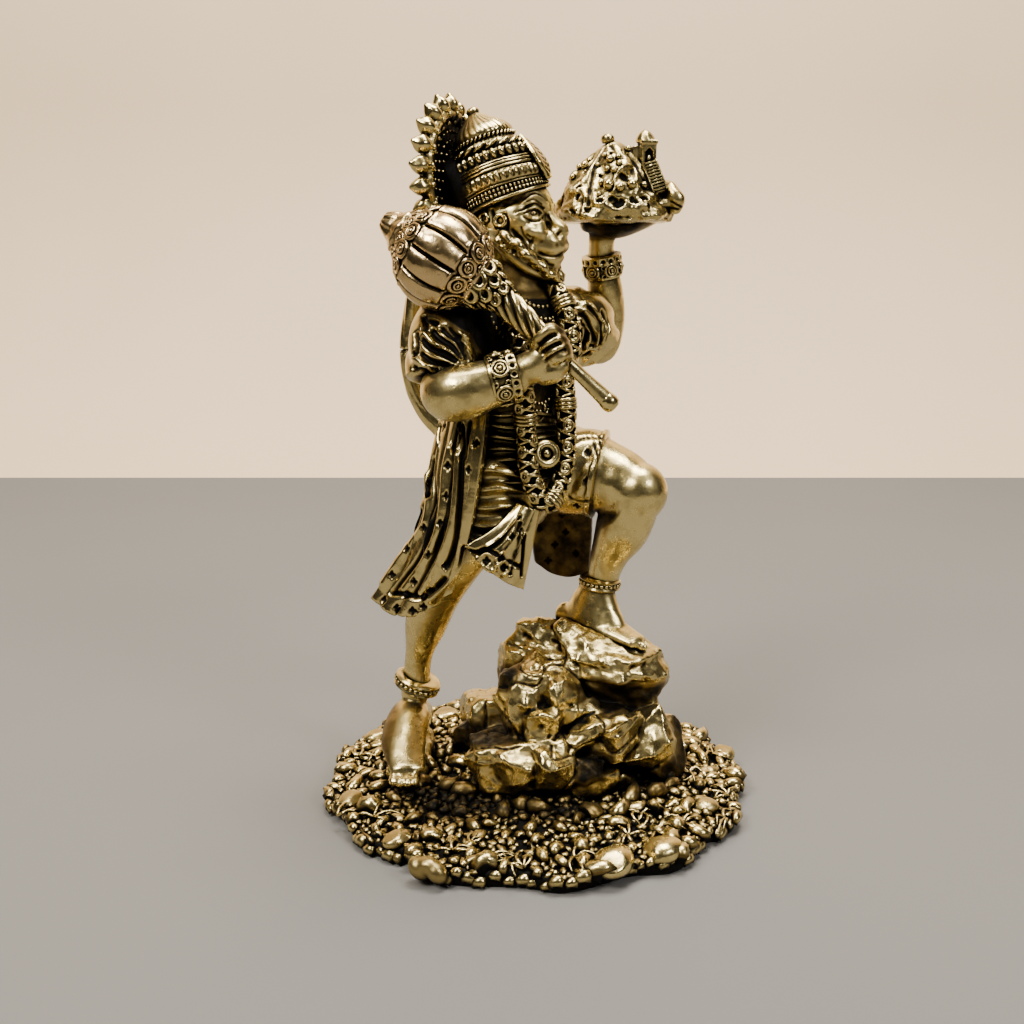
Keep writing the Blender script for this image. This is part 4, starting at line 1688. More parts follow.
    def hung(self, name, left, right, out, flutes, depth, bulge, dip, grid=(150, 90), thick=1.7):
        """A hanging panel between two edge lines, with flutes that grow to its lower end."""
        size = unit()
        edges = smooth_line(spots(*left)), smooth_line(spots(*right))
        columns, rows = grid
        u, v = np.meshgrid(np.linspace(0, 1, columns + 1), np.linspace(0, 1, rows + 1))
        u, v = u.ravel(), v.ravel()
        start, end = edges[0](v), edges[1](v)
        bow = np.sin(math.pi * u)
        wave = sharp(np.cos(2 * math.pi * flutes * u), 2.0)
        lift = bulge * bow + wave * depth * (0.45 + 0.55 * v)
        middle = start + (end - start) * u[:, None] + (direction(*out) * size * lift[:, None])
        middle -= UP * size * (dip * bow * v)[:, None]
        deselect()
        bpy.ops.mesh.primitive_grid_add(x_subdivisions=columns, y_subdivisions=rows, size=1)
        piece = bpy.context.object
        set_corners(piece, middle)
        with_modifier(piece, "SOLIDIFY", thickness=thick / 1.7 * mm("cloth_thickness") * MM, offset=0.0,
                      use_even_offset=False)
        bpy.ops.object.mode_set(mode="EDIT")
        bpy.ops.mesh.select_all(action="SELECT")
        bpy.ops.mesh.normals_make_consistent(inside=False)
        bpy.ops.object.mode_set(mode="OBJECT")
        return named(piece, name)

    def flowers(self, piece, marks, stretch=1.1):
        """Small lozenges stamped where the eye sees them."""
        surface = surface_of(piece)
        for _, centre, normal in each_seen(surface, marks):
            press(piece, stamp_lines(centre, normal, stretch), 0.36, 0.34, flat=True)

    def wraps(self):
        """The wrap of the bent thigh, the folds round the waist and the cloth of the raised thigh."""
        def waist_folds(t, angle):
            rise = 7.0 * t + 0.35 * np.sin(angle + 0.6) + 0.12 * np.sin(5 * angle + 9 * t)
            return 0.75 * narrow(np.cos(2 * math.pi * rise), 1.7)

        def thigh_folds(t, angle):
            rise = 4.6 * t - 0.5 * np.cos(angle) + 0.12 * np.sin(4 * angle + 7 * t)
            return 0.8 * narrow(np.cos(2 * math.pi * rise), 1.5)

        def raised_folds(t, angle):
            sweep = 3.0 * (angle / (2 * math.pi)) + 1.5 * t
            return 0.4 * sharp(np.cos(2 * math.pi * sweep), 2.0) * (1 - 0.5 * t) + 0.5 * (t > 0.93)

        waist = limb(spots((-4.7, 0, 69.5), (-4.6, 0, 77), (-4.3, 0, 85.5)),
                     [(12.8, 10.8), (11.8, 10.0), (11.2, 9.4)], sides=96, rings=110, across=CHEST_LEFT,
                     relief=waist_folds, domes=(0.2, 0.2))
        thigh = limb(spots((-9, -3, 72), (-11.4, -3.8, 64), (-14.4, -4, 56)), [9.9, 9.4, 8.4],
                     sides=90, rings=110, relief=thigh_folds, domes=(0.3, 0.15))
        raised = limb(spots((-1, 4, 70), (8, 3.2, 70), (13.8, 1.7, 69.1)), [9.9, 9.9, 9.5, 9.3],
                      sides=96, rings=100, across=CHEST_LEFT, relief=raised_folds, domes=(0.3, 0.06))
        return named(waist, "waist_wrap"), named(thigh, "thigh_wrap"), named(raised, "raised_thigh_cloth")

    def sleeves(self):
        """The short puffed sleeves and the shawl laid over the back."""
        def sweep(t, angle):
            return 0.4 * sharp(np.cos(5 * angle + 5.0 * t), 2.0) * np.clip(2.5 * t, 0.2, 1)

        near = limb(spots((-13.4, -6, 104.0), (-16.8, -10.6, 101.6), (-18.6, -14.8, 96.6),
                          (-19.0, -17.0, 91.8)),
                    [6.2, 7.4, 7.6, 6.9], sides=140, rings=120, relief=sweep, domes=(0.5, 0.12))
        far = limb(spots((5, 7.4, 102.6), (9.4, 11.6, 101), (12.4, 15.4, 97.4)), [7, 7.8, 6.8],
                   sides=130, rings=100, relief=sweep, domes=(0.5, 0.12))
        across_back = limb(spots((-14, -12, 100), (-13.6, -1, 97), (-6, 9, 98), (4, 12.6, 100)),
                           [(4.4, 3), (5.6, 3.4), (5.6, 3.4), (4.4, 3)], sides=72, rings=110,
                           relief=lambda t, angle: 0.5 * sharp(np.cos(6 * angle), 2.0))
        carve(near, self.sleeve_valleys, self.sleeve_ridges, deep=(0.5, 1.1), high=(0.5, -0.5))
        self.flowers(near, ((-20.5, 100.0), (-26.0, 98.3), (-21.9, 95.6)))
        shade(near, (self.armpit,))
        carve(far, self.far_sleeve_valleys, self.far_sleeve_ridges, deep=(0.42, 1.0), high=(0.5, -0.4))
        return named(near, "near_sleeve"), named(far, "far_sleeve"), named(across_back, "back_shawl")

    def execute(self, context):
        shawl = self.hung(
            "shawl_end",
            [(-17, -2, 90), (-20.6, -4.4, 77), (-23.4, -5.6, 64), (-28.6, -5.2, 52), (-35, -4.2, 43)],
            [(-9.6, -11.6, 90), (-11.0, -14.6, 77), (-12.8, -15, 64.6), (-15, -14, 55), (-17.8, -12, 47)],
            (-0.6, -0.8, 0), 4, 0.25, 2, 4.2, grid=(150, 130), thick=2.6)
        carve(shawl, self.shawl_valleys, self.shawl_ridges, deep=(0.52, 1.25), high=(0.95, -0.75))
        self.flowers(shawl, self.shawl_stamps, 1.2)
        hand_over(shawl, keep=0.6)
        flap = self.hung(
            "front_flap", [(-3.6, -12.5, 65.2), (-8.4, -14.0, 60.9), (-15.2, -14.5, 57.0)],
            [(-0.3, -12.5, 64.8), (-1.8, -13.5, 57.2), (-3.4, -13.5, 47.9)],
            (0.3, -0.95, 0), 2.5, 0.2, 1.6, 1.0, grid=(110, 90), thick=2.4)
        carve(flap, self.flap_valleys, self.flap_ridges, deep=(0.4, 0.9), high=(0.45, -0.5))
        self.flowers(flap, ((-10.9, 53.2), (-7.1, 51.7), (-5.1, 58.6)))
        hand_over(flap, keep=0.6)
        far = self.hung(
            "far_cloth", [(-0.3, 10.5, 62.2), (-0.7, 13.0, 54.2), (0.0, 14.0, 46.4)],
            [(12.8, 10.5, 60.6), (12.9, 13.0, 51.9), (12.4, 13.6, 44.1)],
            (0.2, 1, 0), 1.5, 0.25, 1.4, 2.4, grid=(70, 60), thick=1.8)
        self.flowers(far, ((6.4, 59.7), (4.1, 56.9), (0.7, 60.4), (8.7, 54.9), (2.6, 53.3), (5.6, 63.6)),
                     1.0)
        set_film(far, np.maximum(dark_film(far)[0], 0.62))
        hand_over(far, "stone", keep=0.7)
        for piece in self.wraps():
            if piece.name.startswith("raised"):
                self.flowers(piece, [(11.1, 77.4), (10.9, 71.3), (8.8, 65.5), (5.2, 74.0), (4.8, 67.6)])
                carve(piece, (
                    ((13.6, 79.7), (14.2, 76.7), (14.6, 72.1), (14.7, 67.5), (14.0, 64.3)),
                    ((12.4, 79.3), (13.2, 75.9), (13.5, 71.3), (13.5, 64.3)),
                    ((7.3, 79.0), (9.9, 80.5), (14.4, 80.6)), ((7.1, 67.5), (10.1, 66.7), (13.2, 67.1)),
                ), deep=(0.28, 0.4))
            hand_over(piece, keep=0.8)
        for piece in self.sleeves():
            hand_over(piece, keep=0.75)
        return {"FINISHED"}


class HERO_OT_garland(bpy.types.Operator):
    """The long garland of rosettes and knots round neck, chest and knees"""

    bl_idname = "hero.garland"
    bl_label = "Garland"

    path = [(-9.6, 4, 110), (-10, -4, 109), (-6, -10.5, 104), (-3.4, -13.6, 96), (-2.9, -13.4, 88),
            (-2.4, -12.6, 80.6), (-1.6, -13.4, 72), (1.6, -12.8, 65.6), (5, -9.6, 70.6), (6, -7.4, 80),
            (5.6, -6.4, 89.6), (6.8, -6.2, 99.6), (4.8, -5.2, 107), (0.6, 1.6, 111.6), (-4, 5.6, 112)]

    def execute(self, context):
        size = unit()
        radius = mm("garland_radius")
        through = spots(*self.path)
        core = wire(through, 0.62 * radius, closed=True, sides=12, name="garland_core")
        set_film(core, 0.95)
        hand_over(core)
        line = smooth_line(through, closed=True)
        count = 54
        share = evenly(line, count, closed=True)
        centre, tangent, _, _ = line_frames(line, share, UP)
        out, wide = self.frame_of(centre, tangent)
        rosettes, eyes, rings = [], [], []
        for k in range(count):
            if k % 9 == 8:
                for shift in (-0.8, 0, 0.8):
                    spot = centre[k] + tangent[k] * shift * size
                    rings.append(placing(spot, wide[k], tangent[k], 1.02 * radius))
                continue
            for turn in range(4):
                if (k + turn) % 2:
                    continue
                angle = (turn + 0.5) * math.pi / 2
                face = math.cos(angle) * out[k] + math.sin(angle) * wide[k]
                spot = centre[k] + face * 0.82 * radius
                rosettes.append(placing(spot, tangent[k], face,
                                        (0.5 * radius, 0.4 * radius, 0.45 * radius)))
                eyes.append(placing(spot, tangent[k], face, 0.17 * radius))
        bars = []
        fine = np.linspace(0, 1, 481)[:-1]
        centre, tangent, _, _ = line_frames(line, evenly(line, 480, closed=True), UP)
        out, wide = self.frame_of(centre, tangent)
        turns = count // 2
        for way in (1, -1):
            for start in (0, math.pi):
                angle = (2 * math.pi * turns * fine * way + start)[:, None]
                winding = centre + 0.86 * radius * (np.cos(angle) * out + np.sin(angle) * wide)
                bars.append(wire(winding[::2], 0.165 * radius, closed=True, sides=6))
        hand_over(joined(bars, "garland_lattice"), keep=0.8)
        hand_over(repeated(ring_shape(0.46, 14, 6), rosettes, "garland_rosettes"))
        hand_over(repeated(bead_shape(6, 5), eyes, "garland_eyes"))
        hand_over(repeated(ring_shape(0.22, 24, 6), rings, "garland_rings"))
        return {"FINISHED"}

    def frame_of(self, centre, tangent):
        """Outward and sideways directions along the garland."""
        outward = centre - at(*CHEST_MIDDLE)
        outward[:, 2] *= 0.1
        outward = square_to(outward, tangent)
        return outward, np.cross(tangent, outward)


class HERO_OT_jewellery(bpy.types.Operator):
    """Cuffs, anklets and the boss of the belt"""

    bl_idname = "hero.jewellery"
    bl_label = "Jewellery"

    def cuff(self, name, centre, axis, radius, height, bosses):
        """A wide cuff: scrolled bosses between rims, small curls, and a band of round holes at the hand."""
        size = unit()
        h = height / 2
        profile = [(0, -h), (radius - 0.9, -h), (radius - 0.3, -h + 0.2), (radius - 0.2, -h + 0.6),
                   (radius - 0.8, -h + 0.9), (radius - 0.8, h - 2.0), (radius, h - 1.8),
                   (radius + 0.1, h - 1.0), (radius, h - 0.2), (radius - 0.6, h), (0, h)]
        body = named(turned(profile, centre, axis, across=UP, sides=170, fine=5), name)
        hole_spacing = 1.75
        count = int(2 * math.pi * radius / hole_spacing)
        holes = [(centre + (out * (radius + 0.1) + axis * (h - 1.0)) * size)[None]
                 for out in round_axis(axis, UP, count)]
        press(body, holes, 0.46, 0.6, flat=True)
        hand_over(body, angle=45, keep=0.8)
        middle = -0.5 * size
        for part, ring, thick, grow in (("_scrolls", radius - 0.35, 0.2, 0.27 * height),
                                        ("_inner_scrolls", radius - 0.1, 0.28, 0.15 * height)):
            hand_over(ring_of(ring_shape(thick, 20, 8), centre, axis, ring * size, bosses, grow * size,
                              name + part, across=UP, lift=middle))
        hand_over(ring_of(bead_shape(10, 7), centre, axis, (radius - 0.1) * size, bosses,
                          0.09 * height * size, name + "_eyes", across=UP, lift=middle))
        for lift in (-h + 0.9, h - 2.4):
            hand_over(ring_of(ring_shape(0.42, 12, 6), centre, axis, (radius - 0.5) * size, 2 * bosses + 3,
                              0.5 * size, "%s_curls_%d" % (name, int(lift > 0)), across=UP,
                              lift=lift * size))

    def execute(self, context):
        size = unit()
        self.cuff("near_cuff", at(-7.0, -21.6, 92.3), direction(0.96, 0.1, 0.22), 5.2, 5.8, 6)
        self.cuff("far_cuff", at(14.8, 16.7, 113.6), direction(-0.15, -0.2, 1), 4.4, 5.2, 6)
        for name, centre, axis, radius, height in (
                ("near_anklet", at(-27, 5.2, 20.2), direction(0.35, -0.1, 1), 5.3, 1.5),
                ("far_anklet", at(14.3, 3, 44.6), direction(0.1, 0, 1), 4.6, 1.4)):
            profile = [(0, -height), (radius - 0.6, -height), (radius, -height + 0.5), (radius - 0.4, 0),
                       (radius, height - 0.5), (radius - 0.6, height), (0, height)]
            hand_over(named(turned(profile, centre, axis, fine=2), name), angle=50)
            hand_over(ring_of(bead_shape(), centre, axis, (radius - 0.3) * size, 26, 0.5 * size,
                              name + "_beads"))
        for _, place, out in each_seen(solid_surface(), ((1.8, 76.9),)):
            place = place + 0.8 * size * out
            for shape, grow, name in ((ring_shape(0.44, 28, 12), 2.1, "belt_boss"),
                                      (bead_shape(16, 10), 1.0, "belt_boss_eye")):
                hand_over(repeated(shape, [placing(place, np.cross(out, UP), out, grow * size)], name))
        return {"FINISHED"}


class HERO_OT_tail(bpy.types.Operator):
    """Tail that climbs behind the back to the crest"""

    bl_idname = "hero.tail"
    bl_label = "Tail"

    def execute(self, context):
        def hair(t, angle):
            return 0.1 * np.sin(9 * angle + 24 * t)

        tail = limb(spots((-11, 4, 76), (-20.4, 7.4, 79), (-26, 9.4, 86), (-27.8, 10, 95),
                          (-26.4, 9.4, 105), (-24, 7.6, 115), (-22, 5.6, 125)),
                    [3.2, 2.8, 2.3, 2.2, 2.2, 2.2, 2.4], rings=130, relief=hair)
        hand_over(named(tail, "tail"))
        return {"FINISHED"}


class HERO_OT_rocks(bpy.types.Operator):
    """Heap of hewn rocks under the raised foot and the rock under the other"""

    bl_idname = "hero.rocks"
    bl_label = "Rocks"

    # The inner blocks, as in the solid: centre, half sizes, direction.
    heap = (
        ((12.8, 1.2, 28.8), (18.4, 9.6, 5.4), (0.89, -0.44, -0.1)),
        ((1.6, -6.4, 20.2), (10, 8.6, 9.8), (1, 0.2, 0)),
        ((-2.4, -13, 9.0), (12.4, 7.8, 6.8), (1, -0.1, 0)),
        ((14.6, -9.8, 14.6), (9, 7, 5.8), (0.95, -0.3, 0)),
        ((25.4, -2.4, 7.6), (8.4, 8.6, 7.8), (1, 0.1, 0)),
        ((12, -14.4, 5.0), (6.6, 5.2, 4.6), (1, 0.3, 0)),
        ((-3.4, 5.4, 24), (5.6, 7, 6.4), (1, 0, 0)),
        ((14, 4, 16), (14.6, 11.6, 12), (1, 0, 0)),
        ((-6, 6, 9.6), (11, 11.6, 8.8), (1, 0.2, 0)),
        ((14, 15, 7.6), (14, 8.4, 8), (1, 0, 0)),
        ((-28.5, -1.5, 2.4), (12.4, 5.4, 5.6), (0.07, -1, -0.3)),
    )
    # The hewn blocks as the eye sees them: outlines, and crests with how far they stand out.
    hewn = (
        (((-4.0, 38.9), (-2.1, 40.0), (3.9, 40.0), (6.7, 37.7), (7.0, 34.6), (5.6, 32.0), (4.0, 30.3),
          (0.1, 31.4), (-3.6, 33.4)),
         ((-2.1, 37.7, 1.0), (0.1, 36.3, 1.4), (5.3, 35.7, 1.5), (4.0, 32.3, 1.2))),
        (((3.9, 38.6), (6.1, 40.0), (12.7, 36.9), (22.7, 32.9), (27.6, 31.7), (29.7, 28.5), (29.6, 25.9),
          (27.9, 22.4), (25.2, 19.7), (21.9, 19.7), (17.4, 22.4), (12.9, 25.6), (9.5, 28.2), (7.0, 30.0),
          (6.2, 33.4)),
         ((7.3, 30.5, 1.2), (11.7, 29.8, 1.6), (15.0, 29.7, 2.2), (18.4, 27.3, 2.4), (22.8, 26.8, 2.6),
          (26.1, 26.6, 2.2), (29.2, 26.9, 1.2), (15.1, 25.6, 1.2), (20.7, 22.1, 1.0), (26.2, 23.0, 1.0))),
        (((-3.3, 29.4), (-2.2, 31.4), (0.1, 32.3), (2.6, 31.1), (3.3, 29.1), (1.2, 26.9), (-1.5, 26.4),
          (-3.1, 27.6)),
         ((-0.7, 31.0, 1.8), (1.2, 29.8, 1.8), (-1.2, 28.7, 1.6))),
        (((-7.7, 33.4), (-4.8, 34.9), (-3.8, 32.3), (-3.5, 29.7), (-5.7, 28.7), (-7.5, 30.5)),
         ((-5.7, 32.2, 1.0),)),
        (((-7.9, 27.1), (-3.5, 29.7), (-1.5, 26.5), (2.4, 27.6), (4.6, 28.5), (5.7, 24.7), (4.0, 23.0),
          (0.2, 23.0), (-4.3, 23.0), (-8.3, 23.6)),
         ((-2.6, 25.3, 0.7), (2.9, 26.5, 1.0))),
        (((-9.8, 21.8), (-8.2, 23.6), (-2.1, 24.3), (1.3, 23.0), (0.5, 18.8), (-1.9, 17.0), (-3.1, 14.7),
          (-5.4, 15.2), (-8.3, 18.5)),
         ((-7.3, 21.9, 1.0), (-2.1, 23.1, 1.6), (-2.3, 19.0, 1.6), (-5.4, 17.7, 1.0))),
        (((-3.3, 16.5), (-0.4, 19.0), (5.2, 18.8), (6.4, 17.1), (5.9, 14.1), (4.2, 10.5), (1.3, 9.8),
          (-2.0, 11.6), (-3.7, 14.1)),
         ((-1.5, 17.0, 1.6), (1.3, 17.4, 2.0), (4.9, 16.8, 1.8), (-0.1, 12.2, 1.2), (4.1, 13.5, 1.5))),
        (((2.1, 26.9), (5.7, 28.2), (9.0, 25.9), (11.0, 21.8), (9.7, 19.3), (6.3, 18.1), (3.4, 18.7),
          (1.6, 22.4)),
         ((4.0, 24.7, 2.0), (6.8, 25.4, 2.0), (9.7, 21.8, 1.8), (5.2, 20.0, 2.0), (2.9, 23.0, 1.5))),
        (((9.6, 19.3), (12.9, 21.8), (14.7, 20.6), (14.0, 18.3), (10.8, 15.8), (6.9, 14.6), (5.8, 16.5),
          (6.3, 18.3)),
         ((12.1, 20.1, 1.7), (9.7, 17.4, 1.4))),
        (((6.8, 12.6), (8.6, 14.7), (14.7, 16.5), (15.9, 14.7), (14.9, 11.7), (12.0, 9.2), (8.1, 8.0),
          (6.8, 10.2)),
         ((7.9, 13.1, 1.8), (13.0, 15.0, 2.0), (14.3, 12.9, 1.5), (8.6, 9.8, 0.8))),
        (((14.7, 12.6), (17.5, 15.9), (23.1, 18.4), (24.3, 16.5), (23.2, 12.9), (20.4, 9.8), (17.6, 8.0),
          (15.4, 9.3)),
         ((16.4, 12.9, 2.0), (18.1, 14.2, 2.2), (22.9, 17.1, 1.8), (21.0, 12.9, 1.5), (17.6, 9.2, 0.8))),
        (((23.0, 18.7), (28.0, 19.7), (30.9, 14.1), (32.0, 11.1), (31.1, 8.1), (26.7, 4.4), (21.1, 3.8),
          (17.7, 5.6), (18.2, 7.5), (20.9, 10.5), (23.6, 14.7)),
         ((25.8, 17.1, 0.8), (30.2, 10.5, 1.8), (26.6, 7.5, 2.2), (21.0, 6.2, 2.0), (22.1, 9.3, 0.6),
          (25.9, 12.3, 0.4))),
        (((-16.2, 6.6), (-14.4, 9.0), (-7.6, 9.3), (-0.9, 10.2), (0.2, 5.7), (-0.3, 0.9), (-1.4, -3.5),
          (-5.4, -3.5), (-7.6, -0.5), (-13.3, 2.0)),
         ((-14.1, 7.4, 1.2), (-8.2, 8.1, 1.8), (-7.3, 6.2, 1.6), (-1.2, 3.6, 1.4), (-5.4, -0.3, 2.2),
          (-2.0, 0.9, 2.2))),
        (((-1.5, 9.3), (1.1, 9.8), (5.3, 9.3), (9.0, 7.5), (9.5, 3.3), (8.2, -0.5), (5.4, -2.9),
          (-1.4, -3.5),
          (-0.9, 0.9)),
         ((1.1, 8.4, 2.0), (5.0, 3.9, 2.4), (1.9, 4.5, 1.4), (9.1, 4.5, 1.4), (7.7, 1.5, 1.5),
          (0.3, -0.3, 1.8))),
        (((9.2, 6.8), (12.0, 7.5), (15.5, 5.7), (15.3, 2.0), (11.6, 0.1), (9.3, 0.8)),
         ((12.3, 4.5, 0.8),)),
        (((17.6, 1.4), (20.0, 2.8), (23.4, 2.5), (25.0, 0.9), (23.6, -1.4), (19.5, -2.1)),
         ((21.1, 1.0, 1.5),)),
        (((-18.2, 14.1), (-14.9, 15.9), (-9.8, 17.1), (-4.8, 14.7), (-4.2, 10.4), (-9.9, 9.2), (-16.0, 9.2),
          (-18.3, 10.5)),
         ((-11.5, 13.5, 0.7), (-7.1, 12.9, 0.9))),
        (((-17.9, 1.4), (-16.1, 3.2), (-12.0, 0.9), (-11.5, -1.4), (-15.0, -1.7)),
         ((-15.0, 0.9, 1.0),)),
    )

    # Cracks and worn edges as the eye sees them.
    cracks = (
        ((3.4, 35.3), (6.0, 33.6), (6.8, 31.2), (6.5, 28.8)),
        ((-3.5, 32.6), (-3.1, 28.1), (0.8, 26.4), (2.8, 29.0), (6.1, 29.1)),
        ((-11.7, 20.8), (-8.8, 18.0), (-6.1, 15.9), (-3.8, 12.3), (-1.1, 10.5), (2.9, 10.0), (6.2, 13.7),
         (10.5, 16.6), (13.4, 18.0)), ((14.7, 20.8), (11.4, 23.6), (10.0, 25.7), (7.0, 28.4)),
        ((-17.1, 8.4), (-10.5, 9.5), (-6.1, 9.1), (-3.1, 9.8)), ((3.6, 9.8), (4.3, 6.6), (8.6, 7.7)),
        ((9.3, 5.9), (9.0, 2.3), (4.3, -2.4), (-1.1, -3.9), (-5.8, -2.8)),
        ((6.2, 13.0), (8.6, 9.1), (11.2, 10.2), (14.9, 12.0), (15.7, 15.1), (13.5, 17.6)),
        ((14.9, 10.9), (17.6, 8.0), (20.9, 10.2), (23.8, 13.7), (25.7, 18.0)),
        ((16.0, 6.2), (12.3, 7.0), (8.9, 7.7)),
        ((-10.4, 24.6), (-7.1, 23.9), (-4.1, 25.0), (0.2, 24.3), (1.5, 26.0)),
        ((16.3, 5.9), (20.7, 4.4), (24.1, 3.4), (28.1, 4.8)),
        ((-11.4, 20.8), (-11.1, 15.9), (-11.8, 10.9)),
        ((-6.1, 15.9), (-5.8, 13.0), (-10.4, 13.4), (-10.8, 10.9)),
    )
    edges = (
        ((8.0, 30.7), (12.6, 29.3), (17.6, 27.4), (23.9, 25.7), (29.8, 26.7)),
        ((-3.5, 33.5), (0.8, 32.2), (4.1, 30.5)),
        ((-1.1, 17.6), (1.5, 18.3), (4.8, 19.4), (6.1, 20.4), (7.5, 19.4), (10.4, 21.5), (9.1, 25.3),
         (6.1, 25.3), (5.8, 22.2)),
        ((-1.5, 16.6), (1.5, 17.3), (4.5, 16.2), (4.9, 13.7), (2.6, 10.9), (-0.5, 12.0), (-1.6, 14.4)),
        ((5.8, 19.0), (9.1, 19.4), (8.8, 16.6), (6.2, 14.8)), ((-9.7, 22.5), (-8.1, 19.7), (-4.5, 15.1)),
        ((-5.8, 0.1), (-2.4, 0.8), (1.6, 3.0), (4.6, 3.9), (9.1, 5.9)),
        ((-8.5, 7.7), (-6.5, 5.9), (-4.8, 3.7), (-4.8, 0.5)), ((0.6, 9.5), (2.9, 7.7), (4.6, 4.8)),
        ((6.9, 13.4), (10.5, 13.4), (14.8, 15.1)), ((14.9, 12.3), (18.9, 12.0), (23.1, 16.6)),
        ((17.3, 5.7), (23.0, 6.6), (27.6, 7.7), (31.2, 11.6)), ((3.1, 24.3), (3.5, 21.1), (1.5, 19.0)),
        ((-15.2, 6.6), (-12.1, 5.5), (-7.8, 5.9)),
    )

    # Where the heap stays dark.
    dark_places = (
        ((29.1, 18.8), (38.0, 20.0), (38.5, 4.5), (32.4, 1.5), (26.7, 3.3), (31.9, 7.5), (32.4, 11.7)),
        ((11.7, 26.9), (18.4, 24.7), (26.2, 24.7), (29.6, 25.3), (28.2, 22.1), (25.3, 19.4), (21.6, 19.6),
         (15.1, 23.0)),
        ((5.7, 24.7), (10.7, 24.7), (17.4, 22.1), (21.9, 19.1), (17.5, 17.1), (14.7, 16.5), (14.7, 20.6),
         (12.9, 22.1), (9.6, 20.0), (10.7, 22.4)),
        ((-18.2, 15.9), (-9.8, 17.1), (-4.5, 14.7), (-4.0, 10.2), (-9.9, 9.2), (-18.3, 9.3)),
        ((9.2, 9.3), (17.6, 7.5), (17.7, 4.5), (15.5, 1.5), (11.0, 0.1), (9.3, 0.9)),
        ((-8.3, 28.8), (-3.5, 29.7), (-3.2, 27.1), (-5.9, 23.0), (-8.3, 23.0)),
    )

    def strokes(self, surface, outline, crests):
        """A block cut by flat strokes: the hull of its outline and of the crests in front of it."""
        rim_back, thick = -0.6, 6
        rows = [(x, z, rim_back) for x, z in outline] + list(crests)
        found = [seen(surface, x, z) for x, z, _ in rows]
        depths = [spot[0][1] for spot in found if spot is not None]
        middle = float(np.median(depths)) if depths else -8.0
        points = []
        for k, (x, z, rise) in enumerate(rows):
            depth = middle if found[k] is None else float(np.clip(found[k][0][1], middle - 3, middle + 3))
            points.append(on_sight(x, z, depth - rise * unit()))
            if k < len(outline):
                points.append(on_sight(x, z, depth + thick * unit()))
        mesh = bpy.data.meshes.new("strokes")
        mesh.from_pydata([tuple(point * MM) for point in points], [], [])
        piece = bpy.data.objects.new("strokes", mesh)
        bpy.context.collection.objects.link(piece)
        take(piece)
        bpy.ops.object.mode_set(mode="EDIT")
        bpy.ops.mesh.select_all(action="SELECT")
        bpy.ops.mesh.convex_hull(use_existing_faces=False, join_triangles=False)
        bpy.ops.mesh.select_all(action="SELECT")
        bpy.ops.mesh.normals_make_consistent(inside=False)
        bpy.ops.object.mode_set(mode="OBJECT")
        return in_order(piece)

    def block(self, centre, half, forward, seed):
        """A hewn block: a ball cut by flat strokes in many directions, with four scoops."""
        crispness, tilt = 40, 0.26
        strokes, scoops, scoop_depth = 8, 4, 0.12
        deselect()
        bpy.ops.mesh.primitive_ico_sphere_add(subdivisions=5, radius=1)
        piece = bpy.context.object
        dice = random.Random(seed)
        cuts = [(1, 0, 0), (-1, 0, 0), (0, 1, 0), (0, -1, 0), (0, 0, 1), (0, 0, -1)]
        cuts = [np.array(c) + [dice.uniform(-tilt, tilt) for _ in range(3)] for c in cuts]
        reach = [dice.uniform(0.8, 0.96) for _ in cuts]
        for _ in range(strokes):
            cuts.append(np.array([dice.gauss(0, 1) for _ in range(3)]))
            reach.append(dice.uniform(0.74, 1.0))
        cuts = np.array([c / np.linalg.norm(c) for c in cuts])
        flat = corners(piece) * MM
        way = flat / np.linalg.norm(flat, axis=1, keepdims=True)
        facing = np.maximum(way @ cuts.T, 0.05)
        reaches = np.array(reach)[None] / facing
        radius = -np.log(np.exp(-crispness * reaches).sum(1)) / crispness
        for _ in range(scoops):
            bowl = np.array([dice.gauss(0, 1) for _ in range(3)])
            bowl /= np.linalg.norm(bowl)
            radius = radius - scoop_depth * np.exp(-((1 - way @ bowl) / 0.05) ** 2)
        radius = np.clip(radius, 0.5, 1.25)
        grain = np.array([noise.noise(Vector(w) * 6 + Vector((seed, 0, 0))) for w in way])
        set_corners(piece, way * (radius * (1 + 0.02 * grain))[:, None] / MM)
        return put(piece, centre, forward, UP, [h * unit() for h in half])

    @staticmethod
    def scooped(point):
        """Height of the chisel's scoops at a point: large ones and small ones, bent out of line."""
        bent = 0.25 * Vector([noise.noise(Vector(point * 0.5) + Vector(shift))
                              for shift in ((9.3, -1.5, -8.0), (0, 0, 0), (6.3, 0.2, 5.7))])
        large = noise.voronoi(Vector(point * 0.27) + bent)[0][0]
        small = noise.voronoi(Vector(point * 0.5) + bent)[0][0]
        return large + 0.4 * small

    def execute(self, context):
        surface = solid_surface()
        blocks = [self.block(at(*centre), half, direction(*forward), 10 + k)
                  for k, (centre, half, forward) in enumerate(self.heap)]
        blocks += [self.strokes(surface, outline, crests) for outline, crests in self.hewn]
        heap = melted(blocks, "rocks", 0.36 * unit(), smooth=1)
        points = corners(heap)
        scoops = np.array([self.scooped(q) for q in points]) - 0.62
        hidden = np.clip(0.5 + points[:, 1] / 6, 0, 1)
        set_corners(heap, points + corner_normals(heap) * (scoops * (0.75 + 0.6 * hidden))[:, None])
        carve(heap, self.cracks, self.edges, deep=(0.3, 0.4), high=(0.34, -0.3), film=0.7)
        for _, bowl, _ in each_seen(surface_of(heap), ((1.4, 14.2),)):
            press(heap, [bowl[None]], 1.5, 0.7, film=0.1)
        shade(heap, self.dark_places, film=0.7, soft=1.0)
        points = corners(heap)
        points[:, 2] = np.maximum(points[:, 2], 0.8)
        set_corners(heap, points)
        hand_over(heap, "stone", keep=0.38)
        return {"FINISHED"}


